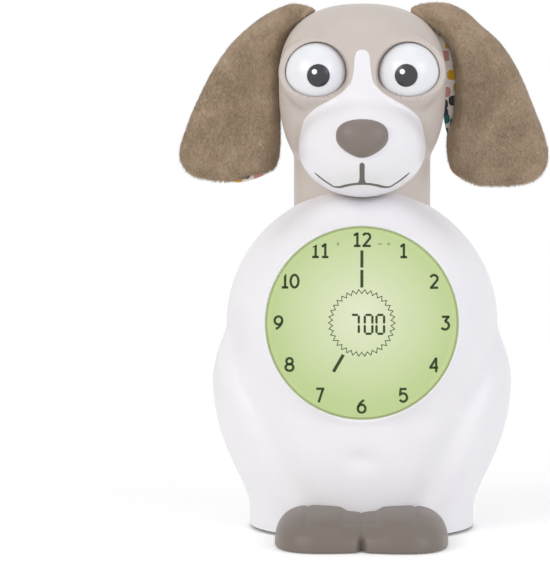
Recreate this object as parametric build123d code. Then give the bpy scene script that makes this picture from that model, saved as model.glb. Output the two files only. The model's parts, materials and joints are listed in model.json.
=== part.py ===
from build123d import *
import math
import os

# A dog-shaped sleep trainer clock: a hollow white body with a round display, a taupe head whose
# eyeballs roll between an open and a lidded side, plush ears, and moulded front paws.
# The clock stands on +Z, its display faces -Y, and the origin is under its base on the table.

# Driving dimensions, in millimetres

# Body casing
wall = 2.2
torso_radius = 61.0
torso_height = 91.5
panel_depth = 51.0
body_split = 0.0
base_thickness = 1.6
pad_thickness = 1.0
casing_bottom = base_thickness + pad_thickness
# Height, half width and half depth of each oval ring of the lower body
body_rings = [
    (casing_bottom, 50.2, 47.6),
    (12.0, 50.8, 47.6),
    (21.0, 54.2, 47.4),
    (32.0, 59.4, 47.0),
    (46.0, 64.4, 46.6),
    (60.0, 66.9, 46.4),
    (70.0, 66.9, 46.0),
    (79.0, 64.6, 44.5),
    (87.0, 58.0, 41.0),
    (93.0, 48.0, 35.0),
]
lip_depth = 2.0
lip_inset = 1.1
lip_gap = 0.1
fit_gap = 0.2

# Display, measured along its own axis from the torso's centre
dial_radius = 42.0
dial_tilt = 4.5
lens_recess = 0.6
lens_thickness = 2.0
tape_thickness = 0.3
ledge_width = 2.6
ledge_thickness = 1.8
lcd_thickness = 2.2
guide_thickness = 4.0
light_board_thickness = 1.6
frame_thickness = 2.0
frame_rim = 1.8
frame_flange_radius = 49.0
frame_window_radius = 28.0
frame_boss_circle = 45.6
lcd_overlap = 0.9
led_size = 3.2
led_height = 1.2
led_circle = 24.0
led_count = 6

# Rear controls
button_radius = 4.2
button_proud = 1.4
button_travel = 0.6
button_flange = 1.2
button_columns = (-15.0, 0.0, 15.0)
button_rows = (113.0, 100.5)
board_thickness = 1.6
board_width = 50.0
board_margin = 5.0
switch_size = 6.0
switch_height = 1.8
switch_plunger = 0.35
board_gap = 6.0
speaker_radius = 13.0
speaker_x = -12.5
speaker_height = 79.5
speaker_depth = 10.8
grille_hole = 0.9
grille_pitch = 3.0
grille_rings = 3
inlet_x = 17.0
inlet_height = 79.5
inlet_width = 11.0
inlet_tall = 7.0
inlet_depth = 8.0
socket_width = 8.0
socket_tall = 3.2
socket_length = 6.0

# Batteries
cell_radius = 7.25
cell_length = 50.5
cell_pitch = 15.0
cell_depth = 30.0
tray_wall = 1.4
tray_floor = 6.2
tray_rear = 34.4
tray_tab = 9.0
tray_tab_depth = 33.0
contact_room = 1.0
cell_first_height = 15.2
cell_nub_radius = 2.75
cell_nub = 1.2
contact_thickness = 0.5
door_half_width = 28.5
door_bottom = 9.0
door_top = 56.6
door_corner = 4.0
door_gap = 0.25
door_ledge = 2.0
door_seat_thickness = 1.6
door_screw_height = 54.0
door_screw_seat = 45.2
door_screw_reach = 5.2
door_post_front = 38.5

# Base and paws
pad_half_width = 38.0
pad_half_depth = 38.5
base_spigot = 2.4
spigot_gap = 0.5
paw_radii = (20.5, 33.0, 17.2)
paw_centre = (16.6, -50.0)
paw_bridge_radii = (19.0, 20.5, 14.8)
paw_bottom = 0.5
paw_peg_radius = 2.6
paw_peg_x = 14.0
peg_overhang = 1.9
paw_peg_height = 9.8

# Head
cranium_radius = 37.4
cranium_height = 200.0
cranium_top = 35.0
cranium_low = 47.0
cranium_power = 2.5
muzzle_centre = (0.0, -26.0, 171.0)
muzzle_radii = (27.5, 33.0, 21.6)
neck_half_width = 30.7
neck_half_depth = 27.0
neck_y = 4.0
head_split = 10.0
neck_spigot_radius = 14.0
neck_spigot_wall = 2.4
neck_plate_thickness = 3.0
neck_clamp_radius = 20.5
neck_clamp_low = 143.6
neck_screw_circle = 17.4
neck_screw_reach = 9.5
head_screw_places = [(29.5, 178.0), (23.4, 163.0)]
head_screw_seat = 14.5
head_screw_reach = 13.0
head_boss_reach = 16.0
head_boss_radius = 3.8
lug_thickness = 3.0
lug_half_width = 3.8
lug_rise = 4.2

# Eyes and their drive
eye_radius = 14.0
eye_x = 20.2
eye_y = -27.0
eye_height = 203.5
eye_wall = 2.0
eye_gap = 0.5
eye_rim_thickness = 2.3
pupil_radius = 4.9
pupil_proud = 0.25
pupil_in = 1.2
pupil_drop = 1.5
shaft_radius = 1.5
bearing_clearance = 0.05
gear_module = 0.8
eye_gear_teeth = 16
drive_gear_teeth = 36
gear_width = 3.0
gear_backlash = 0.16
arm_gap = 3.2
arm_thickness = 1.6
motor_radius = 6.0
motor_length = 20.0
hub_radius = 3.0
shaft_end = 10.8
arm_height = 8.0
leg_front = -10.0
leg_rear = -3.0
tie_low = 184.0
tie_height = 3.5
flange_rear = 31.0
flange_thickness = 2.0
flange_half_width = 11.2
flange_half_height = 4.0
carrier_screw_x = 8.5
carrier_screw_reach = 3.6
drive_axle_radius = 1.0

# Muzzle mask and nose
mask_gap = 0.1
mask_thickness = 1.1
mask_back = -28.0
# Height and half width of the white mask's outline, from its rounded top to below the chin
mask_rows = [
    (212.5, 0.0), (210.7, 2.2), (203.3, 3.4), (198.1, 5.6), (194.2, 10.1), (191.3, 16.3),
    (187.8, 21.4), (183.9, 24.2), (178.2, 25.2), (172.4, 25.0), (166.7, 23.2), (161.0, 20.6),
    (155.0, 19.4), (149.0, 19.2), (143.0, 19.2),
]
nose_y = -57.0
nose_radii = (11.2, 7.0, 8.4)
nose_height = 174.6
nose_peg_radius = 3.0

# Ears
ear_thickness = 8.0
ear_lining = 1.4
ear_clearance = 0.6
ear_knuckle = 7.4
ear_pivot_x = 19.0
ear_pivot_height = 226.0
ear_rod_radius = 1.2
ear_rod_length = 17.0
ear_boss_radius = 3.0
# Across and up, the ear's outline on one side, from its root round to its inner edge
ear_outline = [
    (22.5, 232.7), (35.5, 235.4), (46.8, 230.9), (58.5, 221.0), (66.6, 208.4), (72.9, 197.6),
    (79.2, 182.3), (83.3, 169.7), (81.9, 162.9), (77.4, 158.0), (66.0, 155.3), (57.0, 154.4),
    (43.6, 157.0), (39.0, 159.8), (37.3, 165.2), (34.0, 185.0), (26.0, 212.0), (20.5, 226.0),
]
# How far the plush swells: depth behind its front face, and share of the outline there
ear_swell = [(0.0, 0.72), (0.9, 0.88), (2.4, 0.965), (4.6, 1.0)]

# Fasteners
screw_radius = 1.4
screw_head_radius = 2.6
screw_head_height = 2.0
small_screw_radius = 1.0
small_head_radius = 2.0
small_head_height = 1.4
thread_gap = 0.05
boss_radius = 4.0
small_boss_radius = 2.5
# Where the casing's screws stand, across and up, on one side
body_screw_places = [(44.0, 116.5), (50.0, 40.0)]
body_screw_seat = 6.0
body_screw_reach = 17.0
body_boss_reach = 24.0
base_screw_place = (43.0, 14.0)
base_boss_radius = 3.5
base_boss_height = 18.0
base_cup = 1.6
base_screw_reach = 9.0

# Longer than any piece, for cutting blocks
beyond = 400.0

parts = {}


# Blocks and rods laid between stated coordinates

def block(x_from, x_to, y_from, y_to, z_from, z_to):
    """A box between two corners."""
    size = Box(x_to - x_from, y_to - y_from, z_to - z_from)
    return Pos((x_from + x_to) / 2, (y_from + y_to) / 2, (z_from + z_to) / 2) * size


def rod_x(radius, x_from, x_to, y, z):
    """A round rod along X."""
    return Pos((x_from + x_to) / 2, y, z) * Rot(0, 90, 0) * Cylinder(radius, abs(x_to - x_from))


def rod_y(radius, y_from, y_to, x, z):
    """A round rod along Y."""
    return Pos(x, (y_from + y_to) / 2, z) * Rot(90, 0, 0) * Cylinder(radius, abs(y_to - y_from))


def rod_z(radius, z_from, z_to, x=0.0, y=0.0):
    """A round rod along Z."""
    return Pos(x, y, (z_from + z_to) / 2) * Cylinder(radius, abs(z_to - z_from))


def disc(radius, low, high):
    """A disc on the display's own axis, between two distances from the torso's centre."""
    return Pos(0, 0, (low + high) / 2) * Cylinder(radius, high - low)


def ring(outer, inner, low, high):
    """A flat ring on the display's own axis."""
    return disc(outer, low, high) - disc(inner, low - 1, high + 1)


def ellipsoid(radii):
    """A ball with its own radius along each axis."""
    return scale(Sphere(1), by=radii)


def front_of(y):
    """Everything on the display's side of a plane across Y."""
    return block(-beyond, beyond, y - beyond, y, -beyond, beyond)


def behind(y):
    """Everything on the rear side of a plane across Y."""
    return block(-beyond, beyond, y, y + beyond, -beyond, beyond)


def screw_y(y_seat, reach, x, z, radius, head_radius, head_height):
    """A screw along Y: its head stands behind the seat and its shank runs forward."""
    shank = rod_y(radius, y_seat - reach, y_seat, x, z)
    head = rod_y(head_radius, y_seat, y_seat + head_height, x, z)
    slot = block(
        x - head_radius, x + head_radius, y_seat + head_height * 0.6, y_seat + head_height,
        z - head_height * 0.15, z + head_height * 0.15,
    )
    cross = block(
        x - head_height * 0.15, x + head_height * 0.15, y_seat + head_height * 0.6,
        y_seat + head_height, z - head_radius * 0.7, z + head_radius * 0.7,
    )
    return shank + head - slot - cross


# Casing forms: the same outline at any inset, so that walls, lips and trims follow one shape

def body_form(inset):
    """The body's outline, taken in by an inset: a ball with a flat rear panel on an oval base."""
    torso = Pos(0, 0, torso_height) * Sphere(torso_radius - inset)
    torso -= behind(panel_depth - inset)
    rings = []
    for height, half_width, half_depth in body_rings:
        rings.append(Pos(0, 0, height) * Ellipse(half_width - inset, half_depth - inset))
    return torso + loft(rings)


def cranium_form(inset):
    """The rounded skull, a superellipse turned about its height."""
    steps = 7
    points = []
    for step in range(2 * steps + 1):
        angle = math.pi / 2 * (1 - step / steps)
        across = (cranium_radius - inset) * abs(math.cos(angle)) ** (2 / cranium_power)
        reach = (cranium_top if angle >= 0 else cranium_low) - inset
        along = math.copysign(reach * abs(math.sin(angle)) ** (2 / cranium_power), angle)
        points.append((0 if step in (0, 2 * steps) else across, 0, along))
    profile = Spline(*points, tangents=[(1, 0, 0), (-1, 0, 0)])
    half = make_face([profile, Line(profile @ 1, profile @ 0)])
    return Pos(0, 0, cranium_height) * revolve(half, Axis.Z)


def head_form(inset):
    """Skull, muzzle and neck together; the neck runs on down into the torso."""
    muzzle = Pos(*muzzle_centre) * ellipsoid(tuple(radius - inset for radius in muzzle_radii))
    neck_oval = Ellipse(neck_half_width - inset, neck_half_depth - inset)
    neck = Pos(0, neck_y, torso_height) * extrude(neck_oval, cranium_height - torso_height)
    return cranium_form(inset) + muzzle + neck


body_outer = body_form(0)
body_inner = body_form(wall)
body_shell = body_outer - body_inner
torso_top = torso_height + torso_radius
panel_inner = panel_depth - wall
body_middle = body_form(wall / 2)
body_bottom = body_rings[0]


def screw_z(z_seat, reach, x, y, radius, head_radius, head_height):
    """A screw along Z: its head hangs under the seat and its shank runs up."""
    shank = rod_z(radius, z_seat, z_seat + reach, x, y)
    head = rod_z(head_radius, z_seat - head_height, z_seat, x, y)
    slot = block(
        x - head_radius * 0.7, x + head_radius * 0.7, y - head_height * 0.15, y + head_height * 0.15,
        z_seat - head_height, z_seat - head_height * 0.6,
    )
    return shank + head - slot


# Display stack, on the display's own tilted axis

tilt = math.radians(dial_tilt)
dial = Plane(
    origin=(0, 0, torso_height), x_dir=(1, 0, 0), z_dir=(0, -math.cos(tilt), math.sin(tilt))
).location
dial_face = math.sqrt(torso_radius**2 - dial_radius**2)
lens_front = dial_face - lens_recess
lens_back = lens_front - lens_thickness
tape_back = lens_back - tape_thickness
ledge_back = tape_back - ledge_thickness
lcd_back = ledge_back - lcd_thickness
guide_back = lcd_back - guide_thickness
light_board_back = guide_back - light_board_thickness
frame_back = light_board_back - frame_thickness
ledge_radius = dial_radius - ledge_width
lcd_radius = ledge_radius + lcd_overlap
frame_bore = lcd_radius + fit_gap
frame_screw_reach = frame_thickness + 3.4

parts["dial_lens"] = dial * disc(dial_radius - fit_gap, lens_back, lens_front)
parts["lens_tape"] = dial * ring(dial_radius - fit_gap, ledge_radius, tape_back, lens_back)
parts["lcd_panel"] = dial * disc(lcd_radius, lcd_back, ledge_back)
parts["backlight_board"] = dial * disc(lcd_radius, light_board_back, guide_back)

led_places = PolarLocations(led_circle, led_count)
leds = []
pockets = []
for place in led_places:
    leds.append(place * block(
        -led_size / 2, led_size / 2, -led_size / 2, led_size / 2, guide_back, guide_back + led_height
    ))
    pockets.append(place * block(
        -led_size / 2 - fit_gap, led_size / 2 + fit_gap, -led_size / 2 - fit_gap,
        led_size / 2 + fit_gap, guide_back, guide_back + led_height + fit_gap,
    ))
parts["backlight_leds"] = Compound([dial * led for led in leds])
light_guide = disc(lcd_radius, guide_back, lcd_back)
for pocket in pockets:
    light_guide -= pocket
parts["light_guide"] = dial * light_guide

frame = ring(frame_flange_radius, frame_window_radius, frame_back, light_board_back)
frame += ring(frame_bore + frame_rim, frame_bore, light_board_back, ledge_back)
frame_boss_places = PolarLocations(frame_boss_circle, 4, start_angle=45)
display_screws = []
frame_bosses = []
frame_pilots = []
for place in frame_boss_places:
    frame -= place * rod_z(small_screw_radius + fit_gap, frame_back - 1, light_board_back + 1)
    display_screws.append(dial * place * screw_z(
        frame_back, frame_screw_reach, 0, 0, small_screw_radius, small_head_radius, small_head_height
    ))
    frame_bosses.append(dial * place * rod_z(small_boss_radius, light_board_back, dial_face))
    frame_pilots.append(dial * place * rod_z(
        small_screw_radius + thread_gap, light_board_back - 1, frame_back + frame_screw_reach + fit_gap
    ))
parts["display_frame"] = dial * frame
parts["display_screws"] = Compound(display_screws)


# Body casing: a front and a rear shell, lapped at the seam and drawn together by four screws

def on_both_sides(places):
    """The places, and their mirror images across the middle."""
    return [(side * x, z) for x, z in places for side in (-1, 1)]


body_screws_at = on_both_sides(body_screw_places)
seam_slab = block(-beyond, beyond, body_split - lip_depth, body_split, -beyond, beyond)
neck_hole = rod_z(neck_spigot_radius + fit_gap, torso_height, torso_top + wall)


def base_boss(x, y):
    """One of the four posts that the base plate is screwed to."""
    low = casing_bottom + base_cup
    post = rod_z(base_boss_radius, low, low + base_boss_height, x, y) & body_middle
    return post - rod_z(
        small_screw_radius + thread_gap, low - 1, low + base_screw_reach + fit_gap, x, y
    )


# Front shell, with the lens ledge and the display's screw posts
front_shell = body_shell & front_of(body_split)
front_shell -= body_form(lip_inset - lip_gap) & block(
    -beyond, beyond, body_split - lip_depth - lip_gap, body_split, -beyond, beyond
)
front_shell += (dial * ring(dial_radius + wall, ledge_radius, ledge_back, tape_back)) & body_middle
for boss in frame_bosses:
    front_shell += boss & body_middle
for pilot in frame_pilots:
    front_shell -= pilot
front_shell -= dial * disc(dial_radius, tape_back, torso_radius + wall)
for x, z in body_screws_at:
    front_shell += rod_y(boss_radius, body_split - body_boss_reach, body_split, x, z) & body_middle
    front_shell -= rod_y(
        screw_radius + thread_gap, body_screw_seat - body_screw_reach - 1, body_split + 1, x, z
    )
for side in (-1, 1):
    front_shell += base_boss(side * base_screw_place[0], -base_screw_place[1])
    front_shell -= rod_y(
        paw_peg_radius + lip_gap, -beyond / 2, body_split - body_boss_reach,
        side * paw_peg_x, paw_peg_height,
    )
front_shell -= neck_hole

# Rear shell, with its lap, screw posts, button holes, grille, power well and battery window
rear_shell = body_shell & behind(body_split)
lap = (body_form(lip_inset) - body_inner) & seam_slab
for x, z in body_screws_at:
    lap -= rod_y(boss_radius + fit_gap, body_split - lip_depth - 1, body_split + 1, x, z)
rear_shell += lap
for x, z in body_screws_at:
    rear_shell += rod_y(boss_radius, body_split, panel_depth, x, z) & body_middle
    rear_shell -= rod_y(screw_radius + fit_gap, body_split - 1, panel_depth, x, z)
    rear_shell -= rod_y(screw_head_radius + fit_gap, body_screw_seat, beyond / 4, x, z)
for side in (-1, 1):
    rear_shell += base_boss(side * base_screw_place[0], base_screw_place[1])
rear_shell -= neck_hole
parts["body_screws"] = Compound([
    screw_y(body_screw_seat, body_screw_reach, x, z, screw_radius, screw_head_radius, screw_head_height)
    for x, z in body_screws_at
])

# Rear buttons, with the board and switches that they press

board_rear = panel_inner - board_gap
board_front = board_rear - board_thickness
board_low = min(button_rows) - board_margin
board_high = max(button_rows) + board_margin
board_post_height = (min(button_rows) + max(button_rows)) / 2
button_pitch = button_columns[1] - button_columns[0]
board_post_places = [
    (column + side * button_pitch / 2, board_post_height) for column, side in
    ((button_columns[0], -1), (button_columns[1], -1), (button_columns[1], 1), (button_columns[2], 1))
]
button_seat = panel_inner - lip_gap
button_flange_front = button_seat - 1.6
switch_top = board_rear + switch_height + switch_plunger
stem_end = switch_top + button_travel + thread_gap
button_names = ("time", "alarm", "nap", "light", "plus", "minus")
button_places = [(x, z) for z in button_rows for x in button_columns]

switches = []
for name, (x, z) in zip(button_names, button_places):
    cap = rod_y(button_radius, button_seat, panel_depth + button_proud, x, z)
    rim = cap.edges().filter_by(GeomType.CIRCLE).sort_by(Axis.Y)[-1]
    cap = fillet(rim, button_proud / 2)
    cap += rod_y(button_radius + button_flange, button_flange_front, button_seat, x, z)
    cap += rod_y(button_radius / 3, stem_end, button_flange_front, x, z)
    parts["button_" + name] = cap
    rear_shell -= rod_y(button_radius + fit_gap, panel_inner - 1, panel_depth + 1, x, z)
    switch = block(
        x - switch_size / 2, x + switch_size / 2, board_rear, board_rear + switch_height,
        z - switch_size / 2, z + switch_size / 2,
    )
    switches.append(switch + rod_y(switch_size / 4, board_rear + switch_height, switch_top, x, z))
parts["button_switches"] = Compound(switches)

main_board = block(-board_width / 2, board_width / 2, board_front, board_rear, board_low, board_high)
board_screws = []
for x, z in board_post_places:
    main_board -= rod_y(small_screw_radius + fit_gap, board_front - 1, board_rear + 1, x, z)
    rear_shell += rod_y(small_boss_radius, board_rear, panel_inner + wall / 2, x, z)
    rear_shell -= rod_y(small_screw_radius + thread_gap, board_rear - 1, panel_inner - 1, x, z)
    shank = rod_y(small_screw_radius, board_front, panel_inner - 1.2, x, z)
    head = rod_y(small_head_radius, board_front - small_head_height, board_front, x, z)
    board_screws.append(shank + head)
parts["main_board"] = main_board
parts["board_screws"] = Compound(board_screws)

chip_size = 11.0
chip_height = 1.5
chip_place = (-15.0, board_post_height - 5.0)
connector_width = 16.0
connector_height = 3.0
connector_tall = 4.0
ribbon_height = board_low + connector_tall / 2 + 1.0
chip = block(
    chip_place[0] - chip_size / 2, chip_place[0] + chip_size / 2, board_front - chip_height, board_front,
    chip_place[1] - chip_size / 2, chip_place[1] + chip_size / 2,
)
connector = block(
    -connector_width / 2, connector_width / 2, board_front - connector_height, board_front,
    ribbon_height - connector_tall / 2, ribbon_height + connector_tall / 2,
)
parts["board_components"] = Compound([chip, connector])

# Flat ribbon from the backlight board to the main board
ribbon_width = 13.0
ribbon_thickness = 0.4
ribbon_low = torso_height - 8.0
ribbon_bend = 5.0
ribbon_path = FilletPolyline(
    (0, -dial_face, ribbon_low), (0, -frame_back / 4, ribbon_low), (0, board_front / 2, ribbon_height),
    (0, board_front - connector_height, ribbon_height), radius=ribbon_bend,
)
ribbon_section = Plane(
    origin=ribbon_path @ 0, x_dir=(1, 0, 0), z_dir=ribbon_path % 0
) * Rectangle(ribbon_width, ribbon_thickness)
display_ribbon = sweep(ribbon_section, path=ribbon_path)
display_ribbon -= dial * disc(torso_radius, light_board_back, 2 * torso_radius)
parts["display_ribbon"] = display_ribbon

# Speaker behind its grille
speaker_rim = 3.5
speaker_recess = 2.4
speaker_lip = 1.5
magnet_radius = 7.5
speaker_back = panel_inner - speaker_depth
recess_floor = panel_inner - speaker_recess
speaker = rod_y(speaker_radius, panel_inner - speaker_rim, panel_inner, speaker_x, speaker_height)
speaker += rod_y(magnet_radius, speaker_back, panel_inner - speaker_rim, speaker_x, speaker_height)
speaker -= rod_y(speaker_radius - speaker_lip, recess_floor, panel_inner + 1, speaker_x, speaker_height)
parts["speaker_frame"] = speaker
cone_radius = speaker_radius - speaker_lip - fit_gap
cone_height = speaker_recess - 0.6
cone = Pos(speaker_x, recess_floor + cone_height / 2, speaker_height) * Rot(-90, 0, 0) * Cone(
    cone_radius, cone_radius / 3, cone_height
)
parts["speaker_cone"] = cone
grille = []
for ring_number in range(grille_rings + 1):
    count = max(1, 6 * ring_number)
    for step in range(count):
        angle = 2 * math.pi * step / count
        grille.append(rod_y(
            grille_hole, panel_inner - 1, panel_depth + 1,
            speaker_x + ring_number * grille_pitch * math.cos(angle),
            speaker_height + ring_number * grille_pitch * math.sin(angle),
        ))
rear_shell -= grille

# Power inlet: a well in the rear panel with the socket at its end
well_wall = 1.5
well_floor = panel_depth - inlet_depth


def inlet_block(grow, y_from, y_to):
    """A block around the power inlet's axis, larger than the well by a margin each way."""
    return block(
        inlet_x - inlet_width / 2 - grow, inlet_x + inlet_width / 2 + grow, y_from, y_to,
        inlet_height - inlet_tall / 2 - grow, inlet_height + inlet_tall / 2 + grow,
    )


def socket_block(grow, y_from, y_to):
    """A block around the socket, larger or smaller than its can by a margin each way."""
    return block(
        inlet_x - socket_width / 2 - grow, inlet_x + socket_width / 2 + grow, y_from, y_to,
        inlet_height - socket_tall / 2 - grow, inlet_height + socket_tall / 2 + grow,
    )


can_wall = 0.4
tongue_thickness = 0.7
socket_mouth = well_floor + 0.4
socket_back = socket_mouth - socket_length
rear_shell += inlet_block(well_wall, well_floor - well_wall, panel_inner + wall / 2)
rear_shell -= inlet_block(0, well_floor, panel_depth + 1)
rear_shell -= socket_block(lip_gap, well_floor - well_wall - 1, well_floor + 1)
socket = socket_block(0, socket_back, socket_mouth)
socket -= socket_block(-can_wall, socket_back + can_wall, socket_mouth + 1)
socket += block(
    inlet_x - socket_width / 3, inlet_x + socket_width / 3, socket_back, socket_mouth - can_wall,
    inlet_height - tongue_thickness / 2, inlet_height + tongue_thickness / 2,
)
parts["power_socket"] = socket

# Battery tray with three cells, their contacts, and the door over them

cell_heights = [cell_first_height + number * cell_pitch for number in range(3)]
tray_inner_half = cell_length / 2 + contact_room
tray_half = tray_inner_half + tray_wall
tray_front = cell_depth - cell_radius - fit_gap - tray_wall
tray_low = cell_heights[0] - cell_radius - fit_gap - tray_wall
tray_high = cell_heights[-1] + cell_radius + fit_gap + tray_wall
tray_middle = (tray_low + tray_high) / 2
tray = block(-tray_half, tray_half, tray_front, tray_rear, tray_low, tray_high)
tray -= block(
    -tray_inner_half, tray_inner_half, tray_front + tray_floor, tray_rear + 1,
    tray_low + tray_wall, tray_high - tray_wall,
)
cells = []
contacts = []
contact_half = cell_radius * 0.62
for number, z in enumerate(cell_heights):
    turn = 1 if number % 2 else -1
    tray -= rod_x(cell_radius + fit_gap, -tray_inner_half, tray_inner_half, cell_depth, z)
    can_end = cell_length / 2 - cell_nub
    cell = rod_x(cell_radius, -cell_length / 2, can_end, cell_depth, z)
    cell += rod_x(cell_nub_radius, can_end, cell_length / 2, cell_depth, z)
    if turn < 0:
        cell = mirror(cell, about=Plane.YZ)
    cells.append(cell)
    for side in (-1, 1):
        plate_from = tray_inner_half - contact_thickness
        plate = block(
            plate_from, tray_inner_half, cell_depth - contact_half, cell_depth + contact_half,
            z - contact_half, z + contact_half,
        )
        plate += rod_x(cell_nub_radius, cell_length / 2 + thread_gap, plate_from, cell_depth, z)
        contacts.append(plate if side > 0 else mirror(plate, about=Plane.YZ))
tray_screws = []
tray_tab_half = small_boss_radius + tray_wall
for side in (-1, 1):
    tab_x = side * (tray_half + tray_tab / 2)
    tab_far = side * (tray_half + tray_tab)
    tray += block(
        min(side * tray_inner_half, tab_far) + (tray_wall / 2 if side > 0 else 0),
        max(side * tray_inner_half, tab_far) - (tray_wall / 2 if side < 0 else 0),
        tray_tab_depth - tray_wall, tray_tab_depth,
        tray_middle - tray_tab_half, tray_middle + tray_tab_half,
    )
    tray -= rod_y(
        small_screw_radius + fit_gap, tray_tab_depth - tray_wall - 1, tray_tab_depth + 1, tab_x, tray_middle
    )
    rear_shell += rod_y(small_boss_radius, tray_tab_depth, panel_depth, tab_x, tray_middle) & body_middle
    rear_shell -= rod_y(
        small_screw_radius + thread_gap, tray_tab_depth - 1, tray_tab_depth + 2.4, tab_x, tray_middle
    )
    head_y = tray_tab_depth - tray_wall
    shank = rod_y(small_screw_radius, head_y, tray_tab_depth + 2.2, tab_x, tray_middle)
    tray_screws.append(
        shank + rod_y(small_head_radius, head_y - small_head_height, head_y, tab_x, tray_middle)
    )
parts["battery_tray"] = tray
parts["battery_cells"] = Compound(cells)
parts["battery_contacts"] = Compound(contacts)
parts["tray_screws"] = Compound(tray_screws)


def door_prism(grow, y_from):
    """The battery window's outline, run out through the rear wall, larger by a margin each way."""
    width = 2 * (door_half_width + grow)
    height = door_top - door_bottom + 2 * grow
    outline = RectangleRounded(width, height, door_corner + grow)
    place = Plane(origin=(0, y_from, (door_top + door_bottom) / 2), x_dir=(1, 0, 0), z_dir=(0, 1, 0))
    return extrude(place * outline, beyond / 4)


ledge_front = cell_depth
door_boss_radius = small_head_radius + fit_gap + 1.2
door_boss_front = door_screw_seat - door_seat_thickness
ledge = (body_middle - body_form(wall + door_seat_thickness)) & (
    door_prism(door_ledge, ledge_front) - door_prism(-door_ledge, ledge_front)
)
rear_shell += ledge
rear_shell -= door_prism(0, ledge_front) - body_form(wall + lip_gap)
rear_shell -= rod_y(door_boss_radius + door_gap, door_boss_front - lip_gap, beyond / 4, 0, door_screw_height)
post_rear = door_boss_front - lip_gap
post_web = door_top + door_ledge
post = rod_y(door_boss_radius, door_post_front, post_rear, 0, door_screw_height)
post += block(
    -door_boss_radius, door_boss_radius, door_post_front, post_rear, door_screw_height, post_web + wall
)
post += block(-door_boss_radius, door_boss_radius, door_post_front, panel_depth, post_web, post_web + wall)
rear_shell += post & body_middle
rear_shell -= rod_y(
    small_screw_radius + thread_gap, door_screw_seat - door_screw_reach - fit_gap, post_rear + 1,
    0, door_screw_height,
)
door = body_shell & door_prism(-door_gap, ledge_front)
door += rod_y(door_boss_radius, door_boss_front, panel_depth, 0, door_screw_height) & body_middle
door -= rod_y(small_screw_radius + fit_gap, door_boss_front - 1, panel_depth, 0, door_screw_height)
door -= rod_y(small_head_radius + fit_gap, door_screw_seat, beyond / 4, 0, door_screw_height)
parts["battery_door"] = door
parts["door_screw"] = screw_y(
    door_screw_seat, door_screw_reach, 0, door_screw_height, small_screw_radius, small_head_radius,
    small_head_height,
)

# Base plate in the casing's open bottom, its pad and its screws

base_low = casing_bottom - base_thickness
spigot_half_width = body_bottom[1] - wall - spigot_gap
spigot_half_depth = body_bottom[2] - wall - spigot_gap
base = Pos(0, 0, base_low) * extrude(Ellipse(body_bottom[1], body_bottom[2]), base_thickness)
spigot = extrude(Ellipse(spigot_half_width, spigot_half_depth), base_spigot + base_thickness / 2)
spigot -= extrude(
    Ellipse(spigot_half_width - base_thickness, spigot_half_depth - base_thickness), 2 * base_spigot
)
spigot = Pos(0, 0, casing_bottom - base_thickness / 2) * spigot
base_places = [(sx * base_screw_place[0], sy * base_screw_place[1]) for sx in (-1, 1) for sy in (-1, 1)]
base_seat = base_low + small_head_height + 0.4
cup_room = Pos(0, 0, base_low) * extrude(Ellipse(spigot_half_width, spigot_half_depth), beyond / 4)
base_screws = []
for x, y in base_places:
    spigot -= rod_z(base_boss_radius + fit_gap, casing_bottom + base_cup, beyond / 4, x, y)
base += spigot
for x, y in base_places:
    base += rod_z(base_boss_radius, base_low, casing_bottom + base_cup - lip_gap, x, y) & cup_room
    base -= rod_z(small_screw_radius + fit_gap, base_low - 1, casing_bottom + base_cup + 1, x, y)
    base -= rod_z(small_head_radius + fit_gap, base_low - 1, base_seat, x, y)
    base_screws.append(screw_z(
        base_seat, base_screw_reach, x, y, small_screw_radius, small_head_radius, small_head_height
    ))
parts["base_plate"] = base
parts["base_screws"] = Compound(base_screws)
parts["non_slip_pad"] = extrude(Ellipse(pad_half_width, pad_half_depth), pad_thickness)

# Front paws: two rounded feet joined by a lower bridge, pegged and screwed to the front shell
paws = Pos(0, paw_centre[1], paw_bottom) * ellipsoid(paw_bridge_radii)
for side in (-1, 1):
    paws += Pos(side * paw_centre[0], paw_centre[1], paw_bottom) * ellipsoid(paw_radii)
paws -= block(-beyond, beyond, -beyond, beyond, -beyond, paw_bottom)
paws -= body_form(-fit_gap)
base_clear = Ellipse(body_bottom[1] + fit_gap, body_bottom[2] + fit_gap)
paws -= extrude(base_clear, casing_bottom + fit_gap)
peg_ring = body_rings[1]
peg_wall = peg_ring[2] * math.sqrt(1 - (paw_peg_x / peg_ring[1]) ** 2)
peg_end = -(peg_wall - wall) + peg_overhang
paw_head_radius = paw_peg_radius + 1.6
paw_screw_reach = 8.0
paw_screws = []
for side in (-1, 1):
    x = side * paw_peg_x
    paws += rod_y(paw_peg_radius, paw_centre[1] - 2, peg_end, x, paw_peg_height)
    paws -= rod_y(
        small_screw_radius + thread_gap, peg_end - paw_screw_reach - fit_gap, peg_end + 1, x, paw_peg_height
    )
    paw_screws.append(screw_y(
        peg_end, paw_screw_reach, x, paw_peg_height, small_screw_radius, paw_head_radius, small_head_height
    ))
parts["paws"] = paws
parts["paw_screws"] = Compound(paw_screws)

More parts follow.
